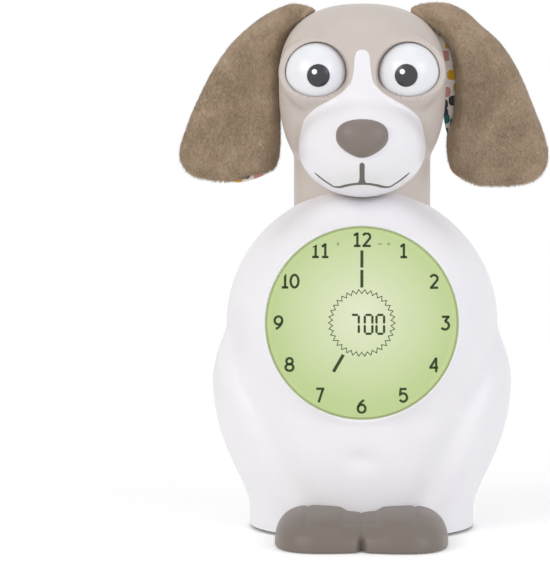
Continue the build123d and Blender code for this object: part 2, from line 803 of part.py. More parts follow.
# Neck: a saddle on the torso's crown, drawn down by a ring and three screws inside
neck_room = Pos(0, neck_y, torso_height) * extrude(
    Ellipse(neck_half_width - wall - fit_gap, neck_half_depth - wall - fit_gap), beyond / 4
)
saddle = (body_form(-lip_gap - neck_plate_thickness) - body_form(-lip_gap)) & neck_room
spigot_room = rod_z(neck_spigot_radius, neck_clamp_low, torso_top + neck_plate_thickness / 2)
saddle += spigot_room & body_form(-neck_plate_thickness / 2)
saddle -= rod_z(neck_spigot_radius - neck_spigot_wall, torso_height, beyond)
lug_low = torso_top - 6.0
lug_x, lug_z = head_screw_places[1]
lug_front = head_split - lug_thickness / 2
for side in (-1, 1):
    lug = block(
        side * lug_x - lug_half_width, side * lug_x + lug_half_width, lug_front,
        lug_front + lug_thickness, lug_low, lug_z + lug_rise,
    )
    saddle += (lug - body_form(-lip_gap)) & neck_room
    saddle -= rod_y(screw_radius + fit_gap, lug_front - 1, lug_front + lug_thickness + 1, side * lug_x, lug_z)
clamp = rod_z(neck_clamp_radius, neck_clamp_low, torso_top) & body_form(wall + lip_gap)
clamp -= rod_z(neck_spigot_radius + fit_gap, torso_height, beyond)
neck_screws = []
for place in PolarLocations(neck_screw_circle, 3, start_angle=90):
    x, y = place.position.X, place.position.Y
    hole = rod_z(small_screw_radius + fit_gap, neck_clamp_low - 1, torso_top - 1, x, y)
    clamp -= hole
    front_shell -= hole
    rear_shell -= hole
    saddle -= rod_z(
        small_screw_radius + thread_gap, neck_clamp_low, neck_clamp_low + neck_screw_reach + fit_gap, x, y
    )
    neck_screws.append(screw_z(
        neck_clamp_low, neck_screw_reach, x, y, small_screw_radius, small_head_radius, small_head_height
    ))
parts["neck_plate"] = saddle
parts["neck_clamp"] = clamp
parts["neck_screws"] = Compound(neck_screws)
parts["front_shell"] = front_shell
parts["rear_shell"] = rear_shell

# Head: a front and a rear shell on the neck saddle, held by four screws

head_outer = head_form(0)
head_inner = head_form(wall)
head_middle = head_form(wall / 2)
head_shell = head_outer - head_inner - body_form(-lip_gap)
head_screws_at = on_both_sides(head_screw_places)
eye_sides = {"left": -1, "right": 1}


def at_eye(side, piece):
    """A piece moved to one eye's centre, with a ball's seam turned to the rear."""
    return Pos(side * eye_x, eye_y, eye_height) * Rot(0, 0, 90) * piece


head_front = head_shell & front_of(head_split)
head_rear = head_shell & behind(head_split)
for number, (x, z) in enumerate(head_screws_at):
    lugged = abs(x) == lug_x
    front_end = lug_front - lip_gap if lugged else head_split
    rear_end = lug_front + lug_thickness + lip_gap if lugged else head_split
    front_boss = rod_y(head_boss_radius, front_end - head_boss_reach, front_end, x, z)
    head_front += (front_boss & head_middle) - body_form(-lip_gap)
    head_front -= rod_y(
        screw_radius + thread_gap, head_screw_seat - head_screw_reach - fit_gap, front_end + 1, x, z
    )
    head_rear += (rod_y(head_boss_radius, rear_end, cranium_radius, x, z) & head_middle) - body_form(-lip_gap)
    head_rear -= rod_y(screw_radius + fit_gap, rear_end - 1, head_screw_seat + 1, x, z)
    head_rear -= rod_y(screw_head_radius + fit_gap, head_screw_seat, beyond / 4, x, z)
parts["head_screws"] = Compound([
    screw_y(head_screw_seat, head_screw_reach, x, z, screw_radius, screw_head_radius, screw_head_height)
    for x, z in head_screws_at
])

# Ear pockets in the head's upper edge, with a seat for each ear's rod on either side
ear_front = head_split - ear_thickness / 2
ear_rear = head_split + ear_thickness / 2
pocket_radius = ear_knuckle + 0.4
rod_front = head_split - ear_rod_length / 2
rod_rear = head_split + ear_rod_length / 2
ear_rods = []
for side in (-1, 1):
    x = side * ear_pivot_x
    for y_from, y_to in (
        (rod_front - fit_gap, ear_front - ear_clearance), (ear_rear + ear_clearance, rod_rear + fit_gap)
    ):
        seat = rod_y(ear_boss_radius, y_from, y_to, x, ear_pivot_height)
        seat += block(
            x - ear_boss_radius, x + ear_boss_radius, y_from, y_to, ear_pivot_height,
            cranium_height + cranium_top,
        )
        if y_from < head_split:
            head_front += seat & head_middle
        else:
            head_rear += seat & head_middle
    pocket = rod_y(pocket_radius, ear_front - ear_clearance, ear_rear + ear_clearance, x, ear_pivot_height)
    bore = rod_y(ear_rod_radius + thread_gap, rod_front, rod_rear, x, ear_pivot_height)
    head_front -= pocket
    head_front -= bore
    head_rear -= pocket
    head_rear -= bore
    ear_rods.append(rod_y(
        ear_rod_radius, rod_front + thread_gap, rod_rear - thread_gap, x, ear_pivot_height
    ))
parts["ear_rods"] = Compound(ear_rods)

# Eye rims and sockets
rim_front = eye_y - eye_radius * 0.46
rim_rear = eye_y + eye_radius / 2
rim_radius = eye_radius + eye_gap + eye_rim_thickness
arm_far = arm_gap + arm_thickness
for side in eye_sides.values():
    rim = at_eye(side, Sphere(rim_radius)) & block(-beyond, beyond, rim_front, rim_rear, -beyond, beyond)
    rim -= block(-arm_far - fit_gap, arm_far + fit_gap, -beyond, beyond, -beyond, beyond)
    head_front += rim
for side in eye_sides.values():
    head_front -= at_eye(side, Sphere(eye_radius + eye_gap))
head_front -= rod_x(shaft_radius + eye_gap, -eye_x, eye_x, eye_y, eye_height)


# White mask over the muzzle and between the eyes, let into the head's surface

def mask_prism(grow):
    """The mask's outline, run back through the front of the head."""
    half = [(0, mask_rows[0][0] + grow)]
    for before, here, after in zip(mask_rows, mask_rows[1:], mask_rows[2:]):
        along = Vector(after[1] - before[1], after[0] - before[0]).normalized()
        half.append((here[1] - grow * along.Y, here[0] + grow * along.X))
    half.append((mask_rows[-1][1] + grow, mask_rows[-1][0]))
    below = (0, mask_rows[-1][0])
    curve = Spline(*half, tangents=[(1, 0), (0, -1)])
    face = make_face([curve, Line(curve @ 1, below), Line(below, curve @ 0)])
    face += mirror(face, about=Plane.YZ)
    place = Plane(origin=(0, mask_back + grow, 0), x_dir=(1, 0, 0), z_dir=(0, -1, 0))
    return extrude(place * face, beyond / 4)


rims = [
    at_eye(side, Sphere(rim_radius + mask_gap)) & behind(rim_front - mask_gap) for side in eye_sides.values()
]
balls = [at_eye(side, Sphere(eye_radius + eye_gap)) for side in eye_sides.values()]
mask = (head_outer - head_form(mask_thickness)) & mask_prism(0)
recess = mask_prism(mask_gap) - head_form(mask_thickness + mask_gap)
for cut in rims:
    mask -= cut
    recess -= cut
for cut in balls:
    mask -= cut
head_front -= recess
nose = Pos(0, nose_y, nose_height) * ellipsoid(nose_radii)
nose -= head_form(-thread_gap)
peg_front = muzzle_centre[1] - muzzle_radii[1]
nose += rod_y(nose_peg_radius, peg_front - 1, peg_front + 2 * wall + mask_gap, 0, nose_height)
nose_hole = rod_y(nose_peg_radius + lip_gap, -beyond / 4, muzzle_centre[1], 0, nose_height)
parts["nose"] = nose
parts["muzzle_mask"] = mask - nose_hole
parts["head_front"] = head_front - nose_hole

# Eyeballs: white in front and a closed lid behind, on one shaft with a gear

lid_places = (("left", -1), ("right", 1))
pupils = []
for name, side in lid_places:
    ball = at_eye(side, Sphere(eye_radius) - Sphere(eye_radius - eye_wall))
    bore = rod_x(shaft_radius + bearing_clearance, -beyond, beyond, eye_y, eye_height)
    tube = rod_x(
        hub_radius, side * eye_x - eye_radius, side * eye_x + eye_radius, eye_y, eye_height
    )
    hub_rear = tube & at_eye(side, Sphere(eye_radius - eye_wall / 2)) & behind(eye_y)
    hub_front = tube & at_eye(side, Sphere(eye_radius - eye_wall - lip_gap)) & front_of(eye_y)
    white = (ball & front_of(eye_y - thread_gap)) - bore
    pupil_y = math.sqrt((eye_radius + pupil_proud) ** 2 - pupil_drop**2)
    pupil_axis = Plane(
        origin=(side * (eye_x - 1.2), eye_y, eye_height - pupil_drop), x_dir=(1, 0, 0), z_dir=(0, -1, 0)
    )
    peg = extrude(pupil_axis * Circle(pupil_radius), 2 * eye_radius)
    hole = extrude(pupil_axis * Circle(pupil_radius + thread_gap), 2 * eye_radius)
    cap = at_eye(side, Sphere(eye_radius + pupil_proud) - Sphere(eye_radius - pupil_in))
    seat = at_eye(side, Sphere(eye_radius + 1) - Sphere(eye_radius - pupil_in - thread_gap))
    pupils.append(cap & peg)
    parts["eye_white_" + name] = white - (seat & hole)
    parts["eye_lid_" + name] = (ball & behind(eye_y)) + hub_rear + hub_front - bore
parts["pupils"] = Compound(pupils)
shaft_half = eye_x + shaft_end
parts["eye_shaft"] = rod_x(shaft_radius, -shaft_half, shaft_half, eye_y, eye_height)

# Spur gears with involute teeth

pressure_angle = math.radians(20)


def gear_outline(teeth, phase):
    """Points round a spur gear, with a tooth centred on the phase angle."""
    pitch = gear_module * teeth / 2
    base = pitch * math.cos(pressure_angle)
    tip = pitch + gear_module
    root = pitch - 1.25 * gear_module
    rolled = math.tan(pressure_angle) - pressure_angle
    half_tooth = (math.pi * gear_module / 2 - gear_backlash) / (2 * pitch)
    steps = 5
    flank = []
    low = max(base, root)
    for step in range(steps + 1):
        radius = low + (tip - low) * step / steps
        angle = math.acos(min(1.0, base / radius))
        flank.append((radius, half_tooth + rolled - (math.tan(angle) - angle)))
    points = []
    for tooth in range(teeth):
        centre = phase + 2 * math.pi * tooth / teeth
        side = [(radius, centre - angle) for radius, angle in flank]
        other = [(radius, centre + angle) for radius, angle in reversed(flank)]
        if root < low:
            side = [(root, side[0][1])] + side
            other = other + [(root, other[-1][1])]
        points += side + other
    return [(radius * math.cos(angle), radius * math.sin(angle)) for radius, angle in points]


def gear(teeth, phase, y):
    """A spur gear lying across X, centred on the middle plane."""
    face = make_face(Polyline(*gear_outline(teeth, phase), close=True))
    place = Plane(origin=(-gear_width / 2, y, eye_height), x_dir=(0, 1, 0), z_dir=(1, 0, 0))
    return extrude(place * face, gear_width)


drive_y = eye_y + gear_module * (eye_gear_teeth + drive_gear_teeth) / 2
eye_gear = gear(eye_gear_teeth, 0, eye_y)
eye_gear -= rod_x(shaft_radius + bearing_clearance, -gear_width, gear_width, eye_y, eye_height)
parts["eye_gear"] = eye_gear
axle_in_motor = 3.0
drive_gear = gear(drive_gear_teeth, math.pi / drive_gear_teeth, drive_y)
drive_gear += rod_x(2 * drive_axle_radius, -arm_gap + fit_gap, arm_gap - fit_gap, drive_y, eye_height)
drive_gear += rod_x(
    drive_axle_radius, -arm_far - lip_gap, arm_far + axle_in_motor, drive_y, eye_height
)
parts["drive_gear"] = drive_gear
motor = rod_x(motor_radius, arm_far, arm_far + motor_length, drive_y, eye_height)
motor -= rod_x(
    drive_axle_radius + bearing_clearance, arm_far - 1, arm_far + axle_in_motor + fit_gap, drive_y, eye_height
)
parts["eye_motor"] = motor

# Carrier for the eye shaft and the drive, standing on a flange at the back of the head
carrier = None
for side in (-1, 1):
    near, far = sorted((side * arm_gap, side * arm_far))
    arm = block(
        near, far, eye_y - arm_height / 2, leg_rear, eye_height - arm_height / 2, eye_height + arm_height / 2
    )
    arm += block(near, far, leg_front, leg_rear, tie_low, eye_height)
    carrier = arm if carrier is None else carrier + arm
carrier += block(-arm_far, arm_far, leg_front, flange_rear, tie_low, tie_low + tie_height)
tie_middle = tie_low + tie_height / 2
carrier += block(
    -flange_half_width, flange_half_width, flange_rear - flange_thickness, flange_rear,
    tie_middle - flange_half_height, tie_middle + flange_half_height,
)
carrier -= rod_x(shaft_radius + bearing_clearance, -beyond, beyond, eye_y, eye_height)
carrier -= rod_x(drive_axle_radius + bearing_clearance, -beyond, beyond, drive_y, eye_height)
carrier_screws = []
for side in (-1, 1):
    x = side * carrier_screw_x
    head_y = flange_rear - flange_thickness
    carrier -= rod_y(small_screw_radius + fit_gap, head_y - 1, flange_rear + 1, x, tie_middle)
    head_rear += rod_y(small_boss_radius, flange_rear, cranium_radius, x, tie_middle) & head_middle
    head_rear -= rod_y(
        small_screw_radius + thread_gap, flange_rear - 1, head_y + carrier_screw_reach + lip_gap, x, tie_middle
    )
    shank = rod_y(small_screw_radius, head_y, head_y + carrier_screw_reach, x, tie_middle)
    carrier_screws.append(
        shank + rod_y(small_head_radius, head_y - small_head_height, head_y, x, tie_middle)
    )
parts["eye_carrier"] = carrier
parts["carrier_screws"] = Compound(carrier_screws)
parts["head_rear"] = head_rear


# Ears: a swelling plush flap with a flat lining behind it, turning on a rod at the root

def ear_section(share, y):
    """The ear's outline drawn in towards its middle, on a plane across Y."""
    middle_x = sum(x for x, z in ear_outline) / len(ear_outline)
    middle_z = sum(z for x, z in ear_outline) / len(ear_outline)
    points = [
        (middle_x + (x - middle_x) * share, middle_z + (z - middle_z) * share) for x, z in ear_outline
    ]
    place = Plane(origin=(0, y, 0), x_dir=(1, 0, 0), z_dir=(0, -1, 0))
    return place * make_face(Spline(*points, periodic=True))


lining_front = ear_rear - ear_lining
head_clear = head_form(-ear_clearance)
plush = loft([ear_section(share, ear_front + depth) for depth, share in reversed(ear_swell)])
plush += extrude(ear_section(1.0, lining_front), lining_front - ear_front - ear_swell[-1][0])
plush -= head_clear
plush += rod_y(ear_knuckle, ear_front, lining_front, ear_pivot_x, ear_pivot_height)
lining = extrude(ear_section(1.0, ear_rear), ear_lining)
lining -= head_clear
lining += rod_y(ear_knuckle, lining_front, ear_rear, ear_pivot_x, ear_pivot_height)
ear_bore = rod_y(ear_rod_radius + bearing_clearance, rod_front, rod_rear, ear_pivot_x, ear_pivot_height)
for name, side in lid_places:
    for kind, piece in (("plush", plush), ("lining", lining)):
        bored = piece - ear_bore
        parts["ear_" + kind + "_" + name] = bored if side > 0 else mirror(bored, about=Plane.YZ)

os.makedirs("parts", exist_ok=True)
for name, piece in parts.items():
    export_step(piece, "parts/" + name + ".step")
print(len(parts), "pieces written")
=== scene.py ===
"""A puppy-shaped sleep trainer clock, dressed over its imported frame.

Lengths in this script are in millimetres, in the frame's own axes, and meshes are made in metres.
"""

import json
import logging
import math
from dataclasses import dataclass
from enum import Enum

import bmesh
import bpy
import numpy as np
from mathutils import Matrix, Vector

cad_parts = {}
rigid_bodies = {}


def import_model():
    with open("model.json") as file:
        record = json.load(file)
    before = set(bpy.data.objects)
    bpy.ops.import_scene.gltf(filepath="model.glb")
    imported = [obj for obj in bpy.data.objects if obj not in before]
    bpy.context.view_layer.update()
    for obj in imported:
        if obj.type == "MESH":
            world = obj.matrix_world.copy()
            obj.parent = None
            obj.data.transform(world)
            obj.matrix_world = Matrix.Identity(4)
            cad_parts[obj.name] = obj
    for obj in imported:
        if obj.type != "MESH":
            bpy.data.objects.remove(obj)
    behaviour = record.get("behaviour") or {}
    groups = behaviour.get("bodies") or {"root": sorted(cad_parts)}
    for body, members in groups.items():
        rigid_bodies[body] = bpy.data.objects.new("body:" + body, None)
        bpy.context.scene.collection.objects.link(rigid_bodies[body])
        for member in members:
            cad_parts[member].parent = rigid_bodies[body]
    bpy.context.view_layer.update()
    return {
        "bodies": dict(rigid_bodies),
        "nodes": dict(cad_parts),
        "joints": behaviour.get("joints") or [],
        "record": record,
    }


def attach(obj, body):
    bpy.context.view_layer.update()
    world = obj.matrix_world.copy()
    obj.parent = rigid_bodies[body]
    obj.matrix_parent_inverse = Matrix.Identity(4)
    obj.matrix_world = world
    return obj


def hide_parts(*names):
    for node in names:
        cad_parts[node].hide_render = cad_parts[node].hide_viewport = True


LOG = logging.getLogger("sleep_trainer_clock")
MM = 0.001
PHOTO_SIZE = (550, 564)

Array = np.ndarray
Material = bpy.types.Material
Piece = bpy.types.Object
Socket = bpy.types.NodeSocket
Outline = list[tuple[float, float]]
Colour = tuple[float, float, float, float]
WHITE: Colour = (1.0, 1.0, 1.0, 1.0)

# The rigid bodies that pieces ride on
BODY = "clock_body"
EYES = "eyes"
LEFT_EAR = "left_ear"
RIGHT_EAR = "right_ear"
COVER = "battery_cover"
KEYS = ("time", "alarm", "nap", "light", "plus", "minus")


class Side(Enum):
    """The clock's own left and right as seen from the front."""

    LEFT = -1
    RIGHT = 1


def linear(hex_code: str) -> Colour:
    """Turns an sRGB hex code into a linear colour.

    Args:
        hex_code: Six hexadecimal digits.

    Returns:
        Red, green, blue and alpha in linear light.
    """
    channels = [int(hex_code[index:index + 2], 16) / 255 for index in (0, 2, 4)]
    lifted = [c / 12.92 if c <= 0.04045 else ((c + 0.055) / 1.055) ** 2.4 for c in channels]
    return (lifted[0], lifted[1], lifted[2], 1.0)


def shaded(colour: Colour, share: float) -> Colour:
    """A colour made darker or lighter by a share."""
    return tuple(min(1.0, channel * share) for channel in colour[:3]) + (1.0,)


class NodeSheet:
    """A small helper for building one material's nodes."""

    def __init__(self, name: str) -> None:
        """Starts a material with its shader.

        Args:
            name: The material's name.
        """
        self.material = bpy.data.materials.new(name)
        self.material.use_nodes = True
        self.tree = self.material.node_tree
        self.shader = self.tree.nodes["Principled BSDF"]

    def add(self, kind: str, **values: object) -> bpy.types.Node:
        """Adds a node and sets its properties or inputs by name.

        Args:
            kind: The node's type name.
            **values: Properties, or input sockets where the name holds spaces as underscores.

        Returns:
            The new node.
        """
        node = self.tree.nodes.new(kind)
        for key, value in values.items():
            label = key.replace("_", " ")
            if hasattr(node, key):
                setattr(node, key, value)
            elif label in node.inputs:
                node.inputs[label].default_value = value
        return node

    def link(self, source: Socket, target: Socket) -> None:
        """Joins two sockets."""
        self.tree.links.new(source, target)

    def feed(self, label: str, source: Socket) -> None:
        """Joins a value to one of the shader's inputs."""
        self.link(source, self.shader.inputs[label])

    def finish(self, **values: object) -> None:
        """Sets inputs of the shader, whose names have underscores for spaces."""
        for label, value in values.items():
            self.shader.inputs[label.replace("_", " ")].default_value = value

    def place(self) -> Socket:
        """The object's own coordinates, in metres."""
        return self.add("ShaderNodeTexCoord").outputs["Object"]

    def noise(self, size_mm: float, detail: float = 3.0, roughness: float = 0.5) -> Socket:
        """A noise texture on the object's own coordinates.

        Args:
            size_mm: About how large its features are.
            detail: How many finer layers it has.
            roughness: How strong the finer layers are.

        Returns:
            The noise's value.
        """
        node = self.add("ShaderNodeTexNoise", Scale=1.0 / (size_mm * MM), Detail=detail, Roughness=roughness)
        self.link(self.place(), node.inputs["Vector"])
        return node.outputs["Fac"]

    def ramp(
        self, source: Socket, stops: list[tuple[float, Colour]], interpolation: str = "LINEAR"
    ) -> Socket:
        """Maps a value to a colour.

        Args:
            source: The value's socket.
            stops: Positions from 0 to 1 and their colours.
            interpolation: How the colours run from stop to stop.

        Returns:
            The colour's socket.
        """
        node = self.add("ShaderNodeValToRGB")
        node.color_ramp.interpolation = interpolation
        elements = node.color_ramp.elements
        while len(elements) < len(stops):
            elements.new(0.5)
        for element, (position, colour) in zip(elements, stops):
            element.position = position
            element.color = colour
        self.link(source, node.inputs["Fac"])
        return node.outputs["Color"]

    def spread(self, source: Socket, low: float, high: float) -> Socket:
        """Maps a value from 0 to 1 onto a range.

        Args:
            source: The value's socket.
            low: What nought becomes.
            high: What one becomes.

        Returns:
            The new value's socket.
        """
        node = self.add("ShaderNodeMapRange", To_Min=low, To_Max=high)
        self.link(source, node.inputs["Value"])
        return node.outputs["Result"]

    def bump(self, height: Socket, depth_mm: float, strength: float = 1.0) -> None:
        """Feeds a height into the shader's normal.

        Args:
            height: The height's socket.
            depth_mm: How deep its relief is.
            strength: How much of the relief is seen.
        """
        node = self.add("ShaderNodeBump", Strength=strength, Distance=depth_mm * MM)
        self.link(height, node.inputs["Height"])
        self.feed("Normal", node.outputs["Normal"])


@dataclass(frozen=True)
class MouldedPlastic:
    """Moulded plastic with a fine grain, slight colour drift and soft gloss."""

    name: str
    colour: str
    drift: float = 0.03
    roughness: tuple[float, float] = (0.34, 0.44)
    grain_mm: float = 0.5
    grain_depth: float = 0.012
    coat: float = 0.0
    cloud_mm: float = 26.0
    smear_mm: float = 9.0

    def material(self) -> Material:
        """Builds the material.

        Returns:
            The material.
        """
        sheet = NodeSheet(self.name)
        base = linear(self.colour)
        stops = [(0.3, shaded(base, 1 - self.drift)), (0.7, shaded(base, 1 + self.drift))]
        sheet.feed("Base Color", sheet.ramp(sheet.noise(self.cloud_mm, 2.0), stops))
        sheet.feed("Roughness", sheet.spread(sheet.noise(self.smear_mm, 4.0), *self.roughness))
        sheet.bump(sheet.noise(self.grain_mm, 2.0, 0.6), self.grain_depth, 0.6)
        if self.coat:
            sheet.finish(Coat_Weight=self.coat, Coat_Roughness=0.12)
        return sheet.material


@dataclass(frozen=True)
class PlainMetal:
    """Turned or plated metal with fine brushed lines."""

    name: str
    colour: str
    roughness: tuple[float, float] = (0.22, 0.42)

    def material(self) -> Material:
        """Builds the material.

        Returns:
            The material.
        """
        sheet = NodeSheet(self.name)
        base = linear(self.colour)
        brushed = sheet.noise(0.7, 4.0)
        sheet.feed("Base Color", sheet.ramp(brushed, [(0.3, shaded(base, 0.85)), (0.7, base)]))
        sheet.feed("Roughness", sheet.spread(brushed, *self.roughness))
        sheet.bump(brushed, 0.01, 0.5)
        sheet.finish(Metallic=1.0)
        return sheet.material


@dataclass(frozen=True)
class ShortPlush:
    """Short brushed pile, paler where the nap catches the light and darker between the tufts."""

    name: str
    shade: str
    middle: str
    tip: str
    tuft_share: float = 0.28

    def material(self) -> Material:
        """Builds the material.

        Returns:
            The material.
        """
        sheet = NodeSheet(self.name)
        nap = sheet.noise(13.0, 4.0, 0.55)
        tuft = sheet.noise(1.5, 3.0, 0.6)
        mixed = sheet.add("ShaderNodeMix", data_type="FLOAT")
        mixed.inputs[0].default_value = self.tuft_share
        sheet.link(nap, mixed.inputs[2])
        sheet.link(tuft, mixed.inputs[3])
        stops = [(0.3, linear(self.shade)), (0.5, linear(self.middle)), (0.72, linear(self.tip))]
        sheet.feed("Base Color", sheet.ramp(mixed.outputs[0], stops))
        sheet.bump(tuft, 0.3, 0.5)
        sheet.finish(Roughness=0.92, Sheen_Weight=0.35, Sheen_Roughness=0.45, Specular_IOR_Level=0.15)
        return sheet.material


@dataclass(frozen=True)
class PrintedCotton:
    """Woven cotton with a scattered print of plain dots, bars and patches in a few colours."""

    name: str
    ground: str = "F6F2EA"
    inks: tuple[str, ...] = ("DFAE22", "F8F5EF", "3F4048", "2B7374", "D99A94", "DFAE22")
    motif_mm: float = 5.0
    motif_reach: float = 0.46
    weave_mm: float = 1.6

    def material(self) -> Material:
        """Builds the material.

        Returns:
            The material.
        """
        sheet = NodeSheet(self.name)
        cells = sheet.add(
            "ShaderNodeTexVoronoi", feature="F1", distance="MINKOWSKI", Scale=1.0 / (self.motif_mm * MM),
            Exponent=3.0, Randomness=0.8,
        )
        sheet.link(sheet.place(), cells.inputs["Vector"])
        pick = sheet.add("ShaderNodeSeparateColor")
        sheet.link(cells.outputs["Color"], pick.inputs["Color"])
        stops = [(index / len(self.inks), linear(ink)) for index, ink in enumerate(self.inks)]
        inks = sheet.ramp(pick.outputs["Red"], stops, "CONSTANT")
        inside = sheet.add("ShaderNodeMath", operation="LESS_THAN")
        inside.inputs[1].default_value = self.motif_reach
        sheet.link(cells.outputs["Distance"], inside.inputs[0])
        mix = sheet.add("ShaderNodeMix", data_type="RGBA")
        mix.inputs[6].default_value = linear(self.ground)
        sheet.link(inside.outputs[0], mix.inputs[0])
        sheet.link(inks, mix.inputs[7])
        sheet.feed("Base Color", mix.outputs[2])
        weave = sheet.add(
            "ShaderNodeTexWave", wave_type="BANDS", bands_direction="DIAGONAL",
            Scale=1.0 / (self.weave_mm * MM), Distortion=0.6,
        )
        sheet.link(sheet.place(), weave.inputs["Vector"])
        sheet.bump(weave.outputs["Fac"], 0.08, 0.5)
        sheet.finish(Roughness=0.85, Sheen_Weight=0.15)
        return sheet.material


@dataclass(frozen=True)
class BacklitPanel:
    """A backlit liquid crystal panel: brightest in its middle, deeper in colour at its rim."""

    name: str
    middle: str
    rim: str
    edge: str
    centre: tuple[float, float, float]
    radius: float
    unlit: str = "39402C"
    glow: float = 0.92
    drift: float = 0.12

    def material(self) -> Material:
        """Builds the material.

        Returns:
            The material.
        """
        sheet = NodeSheet(self.name)
        away = sheet.add("ShaderNodeVectorMath", operation="DISTANCE")
        sheet.link(sheet.place(), away.inputs[0])
        away.inputs[1].default_value = tuple(value * MM for value in self.centre)
        share = sheet.add("ShaderNodeMapRange", From_Max=self.radius * MM)
        sheet.link(away.outputs["Value"], share.inputs["Value"])
        drift = sheet.add("ShaderNodeMath", operation="MULTIPLY_ADD")
        drift.inputs[1].default_value = self.drift
        sheet.link(sheet.noise(24.0, 2.0), drift.inputs[0])
        sheet.link(share.outputs["Result"], drift.inputs[2])
        stops = [(0.08, linear(self.middle)), (0.78, linear(self.rim)), (1.0, linear(self.edge))]
        sheet.feed("Emission Color", sheet.ramp(drift.outputs[0], stops))
        sheet.finish(
            Base_Color=linear(self.unlit), Emission_Strength=self.glow, Roughness=0.5, Specular_IOR_Level=0.1,
        )
        return sheet.material


@dataclass(frozen=True)
class ClearAcrylic:
    """A clear acrylic window, thin enough to see the panel through."""

    name: str
    tint: str = "30361C"

    def material(self) -> Material:
        """Builds the material.

        Returns:
            The material.
        """
        sheet = NodeSheet(self.name)
        sheet.feed("Roughness", sheet.spread(sheet.noise(14.0, 3.0), 0.06, 0.14))
        sheet.finish(Base_Color=linear(self.tint), Alpha=0.04, IOR=1.45)
        return sheet.material


def linked(name: str, data: bpy.types.ID) -> Piece:
    """Makes an object and puts it in the scene.

    Args:
        name: The object's name.
        data: Its mesh, lamp or camera.

    Returns:
        The object.
    """
    made = bpy.data.objects.new(name, data)
    bpy.context.scene.collection.objects.link(made)
    return made


def twin(piece: Piece, name: str) -> Piece:
    """A second piece of the same shape, with a mesh of its own."""
    return linked(name, piece.data.copy())


def mesh_object(
    name: str, points: Array, faces: list[tuple[int, ...]], smooth: bool = True
) -> Piece:
    """Makes an object at the origin from points in millimetres.

    Args:
        name: The object's name.
        points: One row per point.
        faces: Point numbers of each face.
        smooth: Whether its faces are shaded smooth.

    Returns:
        The linked object.
    """
    mesh = bpy.data.meshes.new(name)
    mesh.from_pydata((np.asarray(points) * MM).tolist(), [], faces)
    mesh.validate()
    if smooth:
        mesh.polygons.foreach_set("use_smooth", [True] * len(mesh.polygons))
    mesh.update()
    return linked(name, mesh)


def grid_faces(rows: int, columns: int, wrap: bool = False) -> list[tuple[int, int, int, int]]:
    """Quads between neighbouring points of a grid stored row by row.

    Args:
        rows: Number of rows.
        columns: Points in each row.
        wrap: Whether each row closes on itself.

    Returns:
        The quads' point numbers.
    """
    faces = []
    for start in range(0, (rows - 1) * columns, columns):
        for column in range(columns if wrap else columns - 1):
            first, second = start + column, start + (column + 1) % columns
            faces.append((first, second, second + columns, first + columns))
    return faces


def paint(piece: Piece, *materials: Material) -> Piece:
    """Gives a piece its materials, in slot order, in place of any it has.

    Args:
        piece: The piece.
        *materials: What it is made of.

    Returns:
        The same piece.
    """
    piece.data.materials.clear()
    for material in materials:
        piece.data.materials.append(material)
    return piece


def bake_modifiers(piece: Piece) -> Piece:
    """Turns a piece's modifiers into plain mesh and takes them off.

    Args:
        piece: The piece.

    Returns:
        The same piece.
    """
    bpy.context.view_layer.update()
    evaluated = piece.evaluated_get(bpy.context.evaluated_depsgraph_get())
    baked = bpy.data.meshes.new_from_object(evaluated)
    piece.modifiers.clear()
    old = piece.data
    piece.data = baked
    bpy.data.meshes.remove(old)
    return piece


def modified(piece: Piece, kind: str, **settings: object) -> Piece:
    """Puts a modifier on a piece and makes its result the piece's own mesh.

    Args:
        piece: The piece.
        kind: The modifier's type.
        **settings: What is set on it.

    Returns:
        The same piece.
    """
    modifier = piece.modifiers.new(kind.lower(), kind)
    for key, value in settings.items():
        setattr(modifier, key, value)
    return bake_modifiers(piece)


def cut(piece: Piece, cutter: Piece, operation: str = "DIFFERENCE") -> None:
    """Cuts a piece with a closed mesh, which is removed."""
    modified(piece, "BOOLEAN", operation=operation, solver="EXACT", object=cutter)
    bpy.data.objects.remove(cutter)


def smooth_by_angle(piece: Piece, degrees: float = 32.0) -> Piece:
    """Shades a piece smooth apart from its sharp edges.

    Args:
        piece: The piece.
        degrees: The angle past which an edge stays crisp.

    Returns:
        The same piece.
    """
    edit = bmesh.new()
    edit.from_mesh(piece.data)
    limit = math.radians(degrees)
    for edge in edit.edges:
        edge.smooth = len(edge.link_faces) == 2 and edge.calc_face_angle(0.0) < limit
    for face in edit.faces:
        face.smooth = True
    edit.to_mesh(piece.data)
    edit.free()
    return piece


def keep_half(piece: Piece, point: tuple, away: tuple) -> None:
    """Cuts a piece with a plane and drops what lies on one side.

    Args:
        piece: The piece.
        point: A point on the plane.
        away: The direction of the side that is dropped.
    """
    edit = bmesh.new()
    edit.from_mesh(piece.data)
    bmesh.ops.bisect_plane(
        edit, geom=edit.verts[:] + edit.edges[:] + edit.faces[:], dist=1e-7,
        plane_co=Vector(point) * MM, plane_no=Vector(away), clear_outer=True,
    )
    edit.to_mesh(piece.data)
    edit.free()


def soft_max(first: Array, second: Array, width: float | Array) -> Array:
    """The larger of two fields, rounded where they cross."""
    overlap = np.maximum(width - np.abs(first - second), 0) / width
    return np.maximum(first, second) + overlap**2 * width / 4


def soft_min(first: Array, second: Array, width: float | Array) -> Array:
    """The smaller of two fields, rounded where they cross."""
    return -soft_max(-first, -second, width)


def ease(values: Array, start: float, end: float) -> Array:
    """A soft step from nought at the start to one at the end."""
    share = np.clip((values - start) / (end - start), 0, 1)
    return share**2 * (3 - 2 * share)


